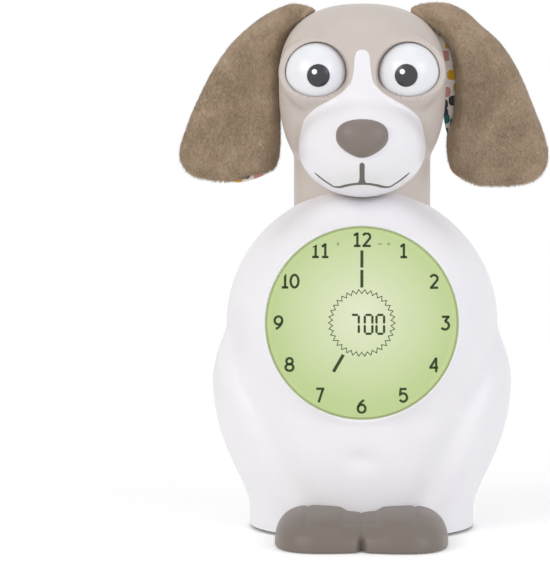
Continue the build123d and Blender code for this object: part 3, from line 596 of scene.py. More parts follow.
def ellipsoid_field(points: Array, centre: tuple, radii: tuple) -> Array:
    """About how far points lie outside an ellipsoid.

    Args:
        points: One row per point.
        centre: Its middle.
        radii: Its half axes.

    Returns:
        Distances, negative inside.
    """
    scaled = (points - np.array(centre)) / np.array(radii)
    length = np.linalg.norm(scaled, axis=-1)
    slope = np.linalg.norm(scaled / np.array(radii), axis=-1)
    return length * (length - 1) / np.maximum(slope, 1e-9)


def superellipsoid_field(points: Array, centre: tuple, radii: tuple, power: float) -> Array:
    """About how far points lie outside an ellipsoid that is squared by a power."""
    scaled = np.abs((points - np.array(centre)) / np.array(radii))
    return ((scaled**power).sum(axis=1) ** (1 / power) - 1) * min(radii)


class Form:
    """A solid given by a field that is negative inside it."""

    def value(self, points: Array) -> Array:
        """How far points lie outside the solid, roughly."""
        raise NotImplementedError

    def trace(
        self, origin: Array, directions: Array, far: float, steps: int = 72
    ) -> Array:
        """Finds the outermost surface point along rays.

        Args:
            origin: Where the rays start, one point or one per ray.
            directions: Unit directions, one row each.
            far: A distance outside the solid.
            steps: Samples taken on the way in.

        Returns:
            The surface points.
        """
        count = len(directions)
        outer = np.full(count, far)
        inner = np.zeros(count)
        found = np.zeros(count, bool)
        previous = np.full(count, far)
        for step in range(1, steps + 1):
            reach = far * (1 - step / steps)
            inside = self.value(origin + directions * reach) < 0
            fresh = inside & ~found
            inner[fresh] = reach
            outer[fresh] = previous[fresh]
            found |= inside
            previous = np.where(found, previous, reach)
        for _ in range(22):
            middle = (inner + outer) / 2
            inside = self.value(origin + directions * middle[:, None]) < 0
            inner = np.where(inside, middle, inner)
            outer = np.where(inside, outer, middle)
        return origin + directions * ((inner + outer) / 2)[:, None]


def smooth_table(heights: list[float], values: list[float]) -> tuple[Array, Array]:
    """Fills a smooth curve through values at rising heights.

    Args:
        heights: Rising heights.
        values: The value at each height.

    Returns:
        Dense heights and their values.
    """
    x = np.array(heights, float)
    y = np.array(values, float)
    slopes = np.gradient(y, x)
    dense = np.linspace(x[0], x[-1], 600)
    spot = np.clip(np.searchsorted(x, dense) - 1, 0, len(x) - 2)
    gap = x[spot + 1] - x[spot]
    share = (dense - x[spot]) / gap
    start = (1 + 2 * share) * (1 - share) ** 2 * y[spot] + share * (1 - share) ** 2 * gap * slopes[spot]
    end = share**2 * (3 - 2 * share) * y[spot + 1] + share**2 * (share - 1) * gap * slopes[spot + 1]
    return dense, start + end


def path_distance(across: Array, up: Array, path: Outline) -> Array:
    """How far points lie from a line of straight runs, in two dimensions.

    Args:
        across: The points' places across.
        up: Their heights.
        path: The line's corners.

    Returns:
        Distances.
    """
    best = np.full(across.shape, 1e9)
    for (ax, az), (bx, bz) in zip(path, path[1:]):
        dx, dz = bx - ax, bz - az
        share = np.clip(((across - ax) * dx + (up - az) * dz) / (dx * dx + dz * dz), 0, 1)
        best = np.minimum(best, np.hypot(across - ax - share * dx, up - az - share * dz))
    return best


@dataclass
class BodyForm(Form):
    """The white body: a ball for a torso on an oval skirt with two haunches."""

    torso_radius: float = 61.0
    torso_height: float = 91.5
    panel_depth: float = 51.0
    panel_round: float = 3.0
    # The casing ends this high so that a band of the dark grey base plate shows below it. The band is made
    # wide to stand in for the shadow gap under the body, so it is partly painted shade.
    bottom: float = 1.4
    base: tuple = (50.2, 47.6, 2.62)
    rings: tuple = (
        (-14.0, 50.4, 47.8), (2.6, 50.4, 47.8), (12.0, 50.8, 47.7), (21.0, 54.2, 47.4), (32.0, 59.4, 47.0),
        (46.0, 64.4, 46.6), (60.0, 66.9, 46.4), (70.0, 66.9, 46.0), (79.0, 64.6, 44.5),
        (87.0, 58.0, 41.0), (93.0, 48.0, 35.0), (100.0, 30.0, 22.0), (106.0, 8.0, 6.0),
    )
    valley: tuple = ((60.0, 88.0), (56.4, 78.7), (50.2, 66.0), (39.0, 43.4), (29.0, 22.0), (25.0, 8.0))
    valley_depth: float = 2.6
    valley_width: float = 6.0
    dimple: tuple = (0.0, 35.4)
    dimple_depth: float = 1.3
    dimple_spread: tuple = (6.0, 4.4)
    shoulder: tuple = (
        (-8.0, 2.6), (0.0, 1.2), (8.0, 2.6), (14.0, 3.1), (22.0, 1.9), (30.0, 0.4), (36.0, 0.0), (44.0, 0.0),
    )
    shoulder_heights: tuple = (136.0, 147.0)
    shoulder_depths: tuple = (-8.0, 8.0)
    waist_round: tuple = (2.0, 6.0)
    front_depth: float = 14.0
    valley_fade: tuple = (4.0, 20.0)
    lowest: float = -10.0

    def __post_init__(self) -> None:
        """Works out the smooth tables that the form is read from."""
        heights = [ring[0] for ring in self.rings]
        self.swell = smooth_table([row[0] for row in self.shoulder], [row[1] for row in self.shoulder])
        self.wide = smooth_table(heights, [ring[1] for ring in self.rings])
        self.deep = smooth_table(heights, [ring[2] for ring in self.rings])

    def value(self, points: Array) -> Array:
        """How far points lie outside the body, roughly.

        Args:
            points: One row per point.

        Returns:
            Distances, negative inside.
        """
        x, y, z = points.T
        raised = np.interp(np.abs(x), *self.swell) * ease(z, *self.shoulder_heights)
        from_middle = points - np.array([0, 0, self.torso_height])
        from_middle[:, 2] -= raised * (1 - ease(y, *self.shoulder_depths))
        torso = np.linalg.norm(from_middle, axis=1) - self.torso_radius
        wide = np.interp(z, *self.wide)
        deep = np.interp(z, *self.deep)
        skirt = (np.hypot(x / wide, y / deep) - 1) * np.minimum(wide, deep)
        skirt = np.where(z > self.rings[-1][0], 50.0, skirt)
        sideways = x**2 / np.maximum(x**2 + y**2, 1e-9)
        least, more = self.waist_round
        whole = soft_min(torso, skirt, least + more * sideways)
        front = ease(-y, 0.0, self.front_depth)
        away = path_distance(np.abs(x), z, list(self.valley))
        low, high = self.valley_fade
        fade = np.clip((z - low) / (high - low), 0, 1)
        whole = whole + front * fade * self.valley_depth * np.exp(-((away / self.valley_width) ** 2))
        across, up = self.dimple_spread
        dent = ((x - self.dimple[0]) / across) ** 2 + ((z - self.dimple[1]) / up) ** 2
        whole = whole + front * self.dimple_depth * np.exp(-dent)
        whole = np.maximum(whole, self.lowest - z)
        return soft_max(whole, y - self.panel_depth, self.panel_round)


@dataclass
class DialFrame:
    """The display's own axes: across, up its face, and out towards the viewer."""

    centre: tuple[float, float, float] = (0.0, 0.0, 91.5)
    tilt: float = 4.5

    def __post_init__(self) -> None:
        """Works out the three axes."""
        angle = math.radians(self.tilt)
        self.across = np.array([1.0, 0.0, 0.0])
        self.up = np.array([0.0, math.sin(angle), math.cos(angle)])
        self.out = np.array([0.0, -math.cos(angle), math.sin(angle)])

    def points(self, local: Array) -> Array:
        """Moves points from the display's axes into the clock's.

        Args:
            local: Places across, up and out, in the last axis.

        Returns:
            The same points in the clock's axes.
        """
        local = np.asarray(local, float)
        return (
            np.array(self.centre) + local[..., 0:1] * self.across + local[..., 1:2] * self.up
            + local[..., 2:3] * self.out
        )

    def ring(self, radius: float, level: float, count: int) -> Array:
        """Points on a circle about the display's axis.

        Args:
            radius: The circle's radius.
            level: How far out it lies.
            count: How many points it has.

        Returns:
            The points in the clock's axes.
        """
        turns = np.linspace(0, 2 * math.pi, count, endpoint=False)
        return self.points(np.stack([
            radius * np.cos(turns), radius * np.sin(turns), np.full(count, level)
        ], axis=1))


def polar_surface(
    form: Form, origin: Array, axes: tuple[Array, Array, Array],
    tilts: Array, turns: int, far: float,
) -> Array:
    """Traces a form on rings round an axis.

    Args:
        form: The solid.
        origin: Where the rays start.
        axes: Across, up and the rings' own axis.
        tilts: Each ring's angle from the axis, in radians.
        turns: Points on each ring.
        far: A distance outside the solid.

    Returns:
        An array of rings, points and coordinates.
    """
    across, up, out = axes
    angles = np.linspace(0, 2 * math.pi, turns, endpoint=False)
    around = np.outer(np.cos(angles), across) + np.outer(np.sin(angles), up)
    rays = np.cos(tilts)[:, None, None] * out + np.sin(tilts)[:, None, None] * around[None]
    flat = rays.reshape(-1, 3)
    return form.trace(origin, flat, far).reshape(len(tilts), turns, 3)


def repeat_on_points(
    name: str, points: Array, turns: Array, sizes: Array, tile: Piece,
    material: Material,
) -> Piece:
    """Sets copies of a small mesh on points with Geometry Nodes, then keeps the plain mesh.

    Args:
        name: The new object's name.
        points: Where the copies stand, in millimetres.
        turns: Each copy's turn about X, Y and Z, in radians.
        sizes: Each copy's scale along its own axes.
        tile: The mesh that is copied; it is removed afterwards.
        material: What the copies are made of.

    Returns:
        The object that holds all the copies.
    """
    mesh = bpy.data.meshes.new(name)
    mesh.from_pydata((points * MM).tolist(), [], [])
    for label, values in (("turn", turns), ("size", sizes)):
        layer = mesh.attributes.new(label, "FLOAT_VECTOR", "POINT")
        layer.data.foreach_set("vector", np.asarray(values, np.float32).ravel())
    host = linked(name, mesh)
    group = bpy.data.node_groups.new(name + "_copies", "GeometryNodeTree")
    for label, kind in (("Points", "Geometry"), ("Tile", "Object"), ("Material", "Material")):
        group.interface.new_socket(label, in_out="INPUT", socket_type="NodeSocket" + kind)
    group.interface.new_socket("Copies", in_out="OUTPUT", socket_type="NodeSocketGeometry")
    nodes = group.nodes
    entry = nodes.new("NodeGroupInput")
    leave = nodes.new("NodeGroupOutput")
    info = nodes.new("GeometryNodeObjectInfo")
    copies = nodes.new("GeometryNodeInstanceOnPoints")
    for label, target in (("turn", "Rotation"), ("size", "Scale")):
        stored = nodes.new("GeometryNodeInputNamedAttribute")
        stored.data_type = "FLOAT_VECTOR"
        stored.inputs["Name"].default_value = label
        group.links.new(stored.outputs["Attribute"], copies.inputs[target])
    real = nodes.new("GeometryNodeRealizeInstances")
    dress = nodes.new("GeometryNodeSetMaterial")
    for source, target in (
        (entry.outputs["Points"], copies.inputs["Points"]),
        (entry.outputs["Tile"], info.inputs["Object"]),
        (info.outputs["Geometry"], copies.inputs["Instance"]),
        (copies.outputs["Instances"], real.inputs["Geometry"]),
        (real.outputs["Geometry"], dress.inputs["Geometry"]),
        (entry.outputs["Material"], dress.inputs["Material"]),
        (dress.outputs["Geometry"], leave.inputs["Copies"]),
    ):
        group.links.new(source, target)
    modifier = host.modifiers.new("copies", "NODES")
    modifier.node_group = group
    keys = {item.name: item.identifier for item in group.interface.items_tree if item.in_out == "INPUT"}
    modifier[keys["Tile"]] = tile
    modifier[keys["Material"]] = material
    bake_modifiers(host)
    bpy.data.objects.remove(tile)
    paint(host, material)
    for label in ("turn", "size"):
        if label in host.data.attributes:
            host.data.attributes.remove(host.data.attributes[label])
    return host


def prism(name: str, outline: Outline, front: float, rear: float) -> Piece:
    """A closed bar along Y.

    Args:
        name: The object's name.
        outline: Its points, across and up.
        front: Where it starts in depth.
        rear: Where it ends in depth.

    Returns:
        The object.
    """
    count = len(outline)
    points = [(x, front, z) for x, z in outline] + [(x, rear, z) for x, z in outline]
    faces = [tuple(range(count)), tuple(range(2 * count - 1, count - 1, -1))]
    for index in range(count):
        after = (index + 1) % count
        faces.append((after, index, count + index, count + after))
    return mesh_object(name, np.array(points), faces, smooth=False)


def circle(radius: float, x: float, z: float, count: int = 40) -> Outline:
    """Points round a circle, across and up."""
    turns = [2 * math.pi * index / count for index in range(count)]
    return [(x + radius * math.cos(turn), z + radius * math.sin(turn)) for turn in turns]


def bar(left: float, low: float, right: float, high: float) -> Outline:
    """The corners of an upright rectangle."""
    return [(left, low), (right, low), (right, high), (left, high)]


def spoke(turn: float, inner: float, outer: float, width: float) -> list[Array]:
    """The corners of a straight bar that points away from the middle.

    Args:
        turn: Its direction, in radians.
        inner: Where it starts.
        outer: Where it ends.
        width: Its width.

    Returns:
        Its corners, across and up.
    """
    along = np.array([math.cos(turn), math.sin(turn)])
    side = np.array([-along[1], along[0]]) * width / 2
    return [along * inner - side, along * outer - side, along * outer + side, along * inner + side]


def separate_faces(shapes: list) -> tuple[Array, list[tuple[int, ...]]]:
    """Makes one face of each outline.

    Args:
        shapes: The outlines.

    Returns:
        All their points, and the faces.
    """
    points, faces = [], []
    for shape in shapes:
        faces.append(tuple(range(len(points), len(points) + len(shape))))
        points += shape
    return np.array(points), faces


def upright(flat: Array, depth: float | Array) -> Array:
    """Stands points, given across and up, at a depth."""
    return np.stack([flat[:, 0], np.broadcast_to(depth, len(flat)), flat[:, 1]], axis=1)


def rounded_box(
    width: float, height: float, corner: float, x: float, z: float, steps: int = 8
) -> Outline:
    """A rectangle with rounded corners.

    Args:
        width: Its size across.
        height: Its size up.
        corner: Its corners' radius.
        x: Its middle across.
        z: Its middle up.
        steps: Runs in each corner.

    Returns:
        Its points, across and up.
    """
    points = []
    for quarter, (sx, sz) in enumerate(((1, 1), (-1, 1), (-1, -1), (1, -1))):
        for step in range(steps + 1):
            angle = math.pi / 2 * (quarter + step / steps)
            points.append((
                x + sx * (width / 2 - corner) + corner * math.cos(angle),
                z + sz * (height / 2 - corner) + corner * math.sin(angle),
            ))
    return points


def joined(name: str, pieces: list[Piece]) -> Piece:
    """Makes one object of several meshes and removes them.

    Args:
        name: The new object's name.
        pieces: The objects that it is made of.

    Returns:
        The new object.
    """
    edit = bmesh.new()
    for piece in pieces:
        edit.from_mesh(piece.data)
        bpy.data.objects.remove(piece)
    mesh = bpy.data.meshes.new(name)
    edit.to_mesh(mesh)
    edit.free()
    return linked(name, mesh)


def ring_mesh(
    name: str, rings: Array, tip: Array | None = None, end: Array | None = None
) -> Piece:
    """Skins rings of points, facing outwards.

    Args:
        name: The object's name.
        rings: An array of rings, points and coordinates.
        tip: A point that closes the first ring.
        end: A point that closes the last ring.

    Returns:
        The object.
    """
    rows, columns, _ = rings.shape
    points = rings.reshape(-1, 3)
    faces = [quad[::-1] for quad in grid_faces(rows, columns, wrap=True)]
    if tip is not None:
        last = len(points)
        points = np.vstack([points, np.asarray(tip)[None]])
        faces += [(last, column, (column + 1) % columns) for column in range(columns)]
    if end is not None:
        last = len(points)
        first = (rows - 1) * columns
        points = np.vstack([points, np.asarray(end)[None]])
        faces += [(last, first + (column + 1) % columns, first + column) for column in range(columns)]
    return mesh_object(name, points, faces)


def front_skin(
    name: str, form: Form, origin: Array, tilts: Array, turns: int, far: float, closed: bool = True
) -> Piece:
    """Skins a form on rings round the axis that faces the front.

    Args:
        name: The object's name.
        form: The solid.
        origin: Where the rays start.
        tilts: Each ring's angle from the front, in radians.
        turns: Points on each ring.
        far: A distance outside the solid.
        closed: Whether the last ring is closed too.

    Returns:
        The object.
    """
    ahead = np.array([0, -1.0, 0])
    axes = (np.array([1.0, 0, 0]), np.array([0, 0, 1.0]), ahead)
    rings = polar_surface(form, origin, axes, tilts, turns, far)
    tip = form.trace(origin, ahead[None], far)[0]
    end = form.trace(origin, -ahead[None], far)[0] if closed else None
    return ring_mesh(name, rings, tip=tip, end=end)


def thicken(piece: Piece, depth: float) -> Piece:
    """Gives a skin a wall on its inner side."""
    return modified(piece, "SOLIDIFY", thickness=depth * MM, offset=-1.0)


def soften(piece: Piece, width: float, degrees: float = 40.0) -> Piece:
    """Rounds the edges of a piece that are sharper than an angle."""
    limit = {"limit_method": "ANGLE", "angle_limit": math.radians(degrees)}
    return modified(piece, "BEVEL", width=width * MM, segments=2, harden_normals=False, **limit)


@dataclass
class BodyCasing:
    """The white casing: its front with the display's round rim, its rear panel and the battery cover."""

    form: BodyForm
    dial: DialFrame
    wall: float = 2.2
    front_wall: float = 1.6
    seam: float = 0.07
    rim: tuple = ((41.9, 40.2), (41.9, 42.9), (41.96, 43.35), (42.12, 43.7), (42.4, 43.84))
    rim_radius: float = 42.8
    key_places: tuple = (
        (-15.0, 113.0), (0.0, 113.0), (15.0, 113.0), (-15.0, 100.5), (0.0, 100.5), (15.0, 100.5),
    )
    key_hole: float = 4.4
    key_face: float = 52.43
    panel_cut: tuple = (44.0, 56.0)
    grille_centre: tuple = (-12.5, 79.5)
    grille_pitch: float = 3.0
    grille_hole: float = 0.9
    inlet: tuple = (17.0, 79.5, 11.0, 7.0)
    inlet_depths: tuple = (50.7, 43.1, 48.7)
    door_half_width: float = 28.5
    door_heights: tuple = (9.0, 56.6)
    door_gap: float = 0.25
    door_cut: tuple = (30.0, 60.0)
    door_corner: float = 4.0
    door_screw_height: float = 54.0
    door_screw_hole: float = 2.2
    door_screw_seat: float = 45.2
    tongue_radius: float = 3.4
    screw_places: tuple = ((44.0, 116.5), (-44.0, 116.5), (50.0, 40.0), (-50.0, 40.0))
    screw_hole: float = 2.8
    screw_seat: float = 6.0

    def front(self) -> Piece:
        """The front half, with a rounded rim round the display.

        Returns:
            The piece.
        """
        start = math.asin(self.rim_radius / self.form.torso_radius)
        tilts = np.linspace(start, math.radians(101), 150)
        axes = (self.dial.across, self.dial.up, self.dial.out)
        rings = polar_surface(self.form, np.array(self.dial.centre), axes, tilts, 300, 150.0)
        rim = np.array([self.dial.ring(radius, level, 300) for radius, level in self.rim])
        piece = ring_mesh("casing_front", np.concatenate([rim, rings]))
        keep_half(piece, (0, -self.seam, 0), (0, 1, 0))
        keep_half(piece, (0, 0, self.form.bottom), (0, 0, -1))
        thicken(piece, self.front_wall)
        cut(piece, self.base_space())
        return smooth_by_angle(piece, 40)

    def base_space(self) -> Piece:
        """The space of the base plate, which the casing's lip goes round.

        Returns:
            A closed mesh for cutting.
        """
        wide, deep, top = self.form.base
        turns = np.linspace(0, 2 * math.pi, 240, endpoint=False)
        low = -2.0
        rows = [
            np.stack([wide * np.cos(turns), deep * np.sin(turns), np.full(240, height)], axis=1)
            for height in (low, top)
        ]
        return ring_mesh("base_tool", np.array(rows), tip=np.array([0, 0, low]), end=np.array([0, 0, top]))

    def rear_skin(self) -> Piece:
        """The rear half before its openings are cut.

        Returns:
            The piece.
        """
        axes = (np.array([-1.0, 0, 0]), np.array([0, 0, 1.0]), np.array([0, 1.0, 0]))
        centre = np.array([0, 0, self.form.torso_height])
        tilts = np.radians(np.linspace(1.0, 101, 130))
        rings = polar_surface(self.form, centre, axes, tilts, 260, 150.0)
        tip = np.array([0, self.form.panel_depth, self.form.torso_height])
        piece = ring_mesh("casing_rear", rings, tip=tip)
        keep_half(piece, (0, self.seam, 0), (0, -1, 0))
        keep_half(piece, (0, 0, self.form.bottom), (0, 0, -1))
        return thicken(piece, self.wall)

    def grille_places(self) -> Outline:
        """Three rings of holes round a middle hole.

        Returns:
            The holes' centres.
        """
        places = [self.grille_centre]
        for ring in (1, 2, 3):
            for index in range(6 * ring):
                angle = 2 * math.pi * index / (6 * ring)
                places.append((
                    self.grille_centre[0] + ring * self.grille_pitch * math.cos(angle),
                    self.grille_centre[1] + ring * self.grille_pitch * math.sin(angle),
                ))
        return places

    def door_outline(self, inset: float) -> list:
        """The battery cover's outline, with the round tongue that its screw holds.

        Args:
            inset: How far it lies inside the opening.

        Returns:
            Its points, across and up.
        """
        low, high = self.door_heights
        width = 2 * (self.door_half_width - inset)
        box = rounded_box(width, high - low - 2 * inset, self.door_corner - inset, 0.0, (low + high) / 2)
        radius = self.tongue_radius + self.door_gap - inset
        start = math.asin((high - inset - self.door_screw_height) / radius)
        turns = np.linspace(start, math.pi - start, 16)
        middle = self.door_screw_height
        tongue = [(radius * math.cos(turn), middle + radius * math.sin(turn)) for turn in turns]
        corner = len(box) // 4
        return box[:corner] + tongue + box[corner:]

    def rear(self) -> tuple[Piece, Piece]:
        """The rear half with its openings, and the battery cover that fills one of them.

        Returns:
            The rear half and the cover.
        """
        piece = self.rear_skin()
        door = twin(piece, "battery_cover_skin")
        cut(door, prism("tool", self.door_outline(self.door_gap), *self.door_cut), operation="INTERSECT")
        hole = circle(self.door_screw_hole, 0, self.door_screw_height)
        deepest = self.door_cut[1]
        cut(door, prism("tool", hole, self.door_screw_seat, deepest))
        soften(door, 0.35)
        smooth_by_angle(door, 30)
        x, z, width, height = self.inlet
        openings = [circle(self.key_hole, *place) for place in self.key_places]
        openings += [circle(self.grille_hole, *place, 16) for place in self.grille_places()]
        openings.append(rounded_box(width, height, 1.0, x, z))
        tools = [prism("tool", opening, *self.panel_cut) for opening in openings]
        tools.append(prism("tool", self.door_outline(0.0), *self.door_cut))
        for place in self.screw_places:
            tools.append(prism("tool", circle(self.screw_hole, *place), self.screw_seat, deepest))
        tools.append(self.base_space())
        cut(piece, joined("tools", tools))
        smooth_by_angle(piece, 30)
        return piece, door

    def inlet_well(self) -> Piece:
        """The short tunnel from the rear panel to the power socket.

        Returns:
            The piece.
        """
        x, z, width, height = self.inlet
        inner = np.array(rounded_box(width, height, 1.0, x, z))
        outer = np.array(rounded_box(width + 2.4, height + 2.4, 2.0, x, z))
        mouth, floor, shoulder = self.inlet_depths
        rows = [
            upright(inner, mouth), upright(inner, floor), upright(outer, floor), upright(outer, shoulder),
            upright(inner, mouth),
        ]
        return smooth_by_angle(ring_mesh("inlet_well", np.array(rows)), 30)


def arc(centre: tuple, radii: tuple, start: float, end: float) -> Outline:
    """Points along part of an ellipse, between two angles in degrees.

    Args:
        centre: The ellipse's middle.
        radii: Its half axes.
        start: The first angle.
        end: The last angle.

    Returns:
        The points, across and up.
    """
    steps = max(3, round(abs(end - start) / 12))
    turns = np.radians(np.linspace(start, end, steps + 1))
    return [(centre[0] + radii[0] * math.cos(turn), centre[1] + radii[1] * math.sin(turn)) for turn in turns]


SIX = [
    arc((0.0, -1.0), (1.65, 1.75), 0, 360),
    [(1.1, 2.75), (0.1, 2.1), (-0.8, 1.2), (-1.4, 0.1), (-1.65, -1.0)],
]
DIGITS = {
    "0": [arc((0.0, 0.0), (1.7, 2.75), 0, 360)],
    "1": [[(-1.4, 1.7), (0.1, 2.8)], [(0.1, 3.2), (0.1, -3.2)], [(-1.4, -2.75), (1.5, -2.75)]],
    "2": [arc((-0.1, 1.2), (1.55, 1.55), 160, -25) + [(-1.45, -2.9)], [(-1.85, -2.75), (1.75, -2.75)]],
    "3": [
        [(-1.5, 2.75), (1.85, 2.75)], [(1.4, 2.9), (-0.2, 0.65)], arc((-0.15, -1.05), (1.7, 1.7), 95, -150),
    ],
    "4": [[(0.9, -3.2), (0.9, 3.2)], [(0.9, 2.9), (-1.75, -1.3)], [(-2.1, -1.2), (1.8, -1.2)]],
    "5": [[(1.35, 2.75), (-1.2, 2.75), (-1.4, 0.35)] + arc((-0.1, -0.95), (1.65, 1.8), 125, -150)],
    "6": SIX,
    "7": [[(-1.65, 2.75), (1.9, 2.75)], [(1.4, 2.9), (-0.6, -3.2)]],
    "8": [arc((0.0, 1.4), (1.35, 1.35), 0, 360), arc((0.0, -1.3), (1.7, 1.45), 0, 360)],
    "9": [[(-x, -z) for x, z in line] for line in SIX],
}


def stroke(line: Outline, width: float) -> tuple[Array, list[tuple[int, ...]]]:
    """A flat band of one width along a line, with mitred bends.

    Args:
        line: The line's points; it closes where the last is the first.
        width: The band's width.

    Returns:
        Points across and up, and faces.
    """
    points = np.array(line, float)
    ways = np.diff(points, axis=0)
    ways /= np.linalg.norm(ways, axis=1, keepdims=True)
    sides = np.stack([-ways[:, 1], ways[:, 0]], axis=1)
    closed = np.linalg.norm(points[0] - points[-1]) < 1e-6
    before = np.vstack([sides[-1] if closed else sides[0], sides])
    after = np.vstack([sides, sides[0] if closed else sides[-1]])
    mitre = before + after
    reach = np.maximum((mitre * before).sum(axis=1), 0.45)
    mitre = mitre / reach[:, None] * width / 2
    band = np.stack([points - mitre, points + mitre], axis=1).reshape(-1, 2)
    return band, grid_faces(len(points), 2)


@dataclass
class DialMarks:
    """What the display shows: numbers, hands, a zigzag ring and a digital time."""

    dial: DialFrame
    level: float = 39.62
    number_radius: float = 36.3
    number_line: float = 1.08
    digit_pitch: float = 4.2
    faint: tuple = ((-10.4, 0.5, 0.7), (7.8, 0.9, 0.35), (11.6, 0.6, 0.5))
    faint_height: float = 34.4
    # Radii and levels of the painted shadow ring round the lens's edge
    lens_edge: tuple = ((41.0, 43.68), (41.5, 43.7), (41.86, 43.55))
    ring_radius: float = 13.6
    ring_teeth: int = 34
    tooth_depth: float = 1.9
    tooth_line: float = 0.66
    bars: tuple = ((0, 15.4, 23.1, 1.35), (0, 24.1, 31.6, 1.35), (210, 16.0, 24.6, 1.45))
    digit_size: tuple = (3.3, 8.2)
    digit_places: tuple = (("7", -4.6), ("0", 1.3), ("0", 6.4))
    digit_gap: float = 0.12
    time_height: float = -0.6
    stroke: float = 1.05

    def flat(self, name: str, points: Array, faces: list) -> Piece:
        """Lays flat shapes on the panel."""
        local = np.column_stack([points, np.full(len(points), self.level)])
        return mesh_object(name, self.dial.points(local), faces, smooth=False)

    def numbers(self) -> Piece:
        """The hours, upright on a circle.

        Returns:
            The printed numbers.
        """
        points, faces = [], []
        count = 0
        for hour in range(1, 13):
            angle = math.radians(90 - 30 * hour)
            middle = self.number_radius * np.array([math.cos(angle), math.sin(angle)])
            digits = str(hour)
            for place, digit in enumerate(digits):
                shift = np.array([(place - (len(digits) - 1) / 2) * self.digit_pitch, 0])
                for line in DIGITS[digit]:
                    shape, cells = stroke(line, self.number_line)
                    points.append(shape + middle + shift)
                    faces += [tuple(index + count for index in cell) for cell in cells]
                    count += len(shape)
        return self.flat("dial_numbers", np.vstack(points), faces)

    def dots(self) -> Piece:
        """Three faint signs beside the twelve.

        Returns:
            The printed signs.
        """
        height = self.faint_height
        shapes = [bar(x - wide, height - tall, x + wide, height + tall) for x, wide, tall in self.faint]
        return self.flat("dial_faint", *separate_faces(shapes))

    def edge_ring(self) -> Piece:
        """A thin darker green ring round the lens's edge: a painted shadow of the recess that the display
        sits in.
        """
        return ring_mesh("lens_edge", np.array([self.dial.ring(*row, 240) for row in self.lens_edge]))

    def hands(self) -> Piece:
        """The bars that stand for the two hands."""
        shapes = [spoke(math.radians(90 - angle), *sizes) for angle, *sizes in self.bars]
        return self.flat("dial_hands", *separate_faces(shapes))

    def clock_digits(self) -> Piece:
        """The digital time in seven-bar digits.

        Returns:
            The printed digits.
        """
        width, height = self.digit_size
        half = height / 2
        lines = {
            "top": ((0, half), (width, half)), "low": ((0, -half), (width, -half)),
            "upper_left": ((0, 0), (0, half)), "upper_right": ((width, 0), (width, half)),
            "lower_left": ((0, -half), (0, 0)), "lower_right": ((width, -half), (width, 0)),
        }
        lit = {"7": ("top", "upper_right", "lower_right"), "0": tuple(lines)}
        shapes = []
        for digit, left in self.digit_places:
            for line in lit[digit]:
                start, end = (np.array(place, float) for place in lines[line])
                along = (end - start) / np.linalg.norm(end - start)
                side = np.array([-along[1], along[0]]) * self.stroke / 2
                start = start + along * self.digit_gap + np.array([left, 0])
                end = end - along * self.digit_gap + np.array([left, 0])
                taper = along * self.stroke / 2
                shapes.append([
                    start, start + taper - side, end - taper - side,
                    end, end - taper + side, start + taper + side,
                ])
        points, faces = separate_faces(shapes)
        return self.flat("dial_time", points + np.array([0, self.time_height]), faces)

    def zigzag(self, ink: Material) -> Piece:
        """A ring of slanted strokes round the digital time.

        Args:
            ink: What it is printed with.

        Returns:
            The printed ring.
        """
        half = math.pi * self.ring_radius / self.ring_teeth
        deep = self.tooth_depth / 2
        line = self.tooth_line / 2
        tooth = np.array([
            (-half, -deep - line, 0), (0, deep - line, 0), (half, -deep - line, 0),
            (half, -deep + line, 0), (0, deep + line, 0), (-half, -deep + line, 0),
        ])
        tile = mesh_object("zigzag_tooth", tooth, [(0, 1, 4, 5), (1, 2, 3, 4)], smooth=False)
        angles = np.linspace(0, 2 * math.pi, self.ring_teeth, endpoint=False)
        lean = Matrix((self.dial.across, self.dial.up, self.dial.out)).transposed()
        turns = [tuple((lean @ Matrix.Rotation(angle - math.pi / 2, 3, "Z")).to_euler()) for angle in angles]
        places = self.dial.ring(self.ring_radius, self.level, self.ring_teeth)
        sizes = np.ones((self.ring_teeth, 3))
        return repeat_on_points("dial_zigzag", places, np.array(turns), sizes, tile, ink)


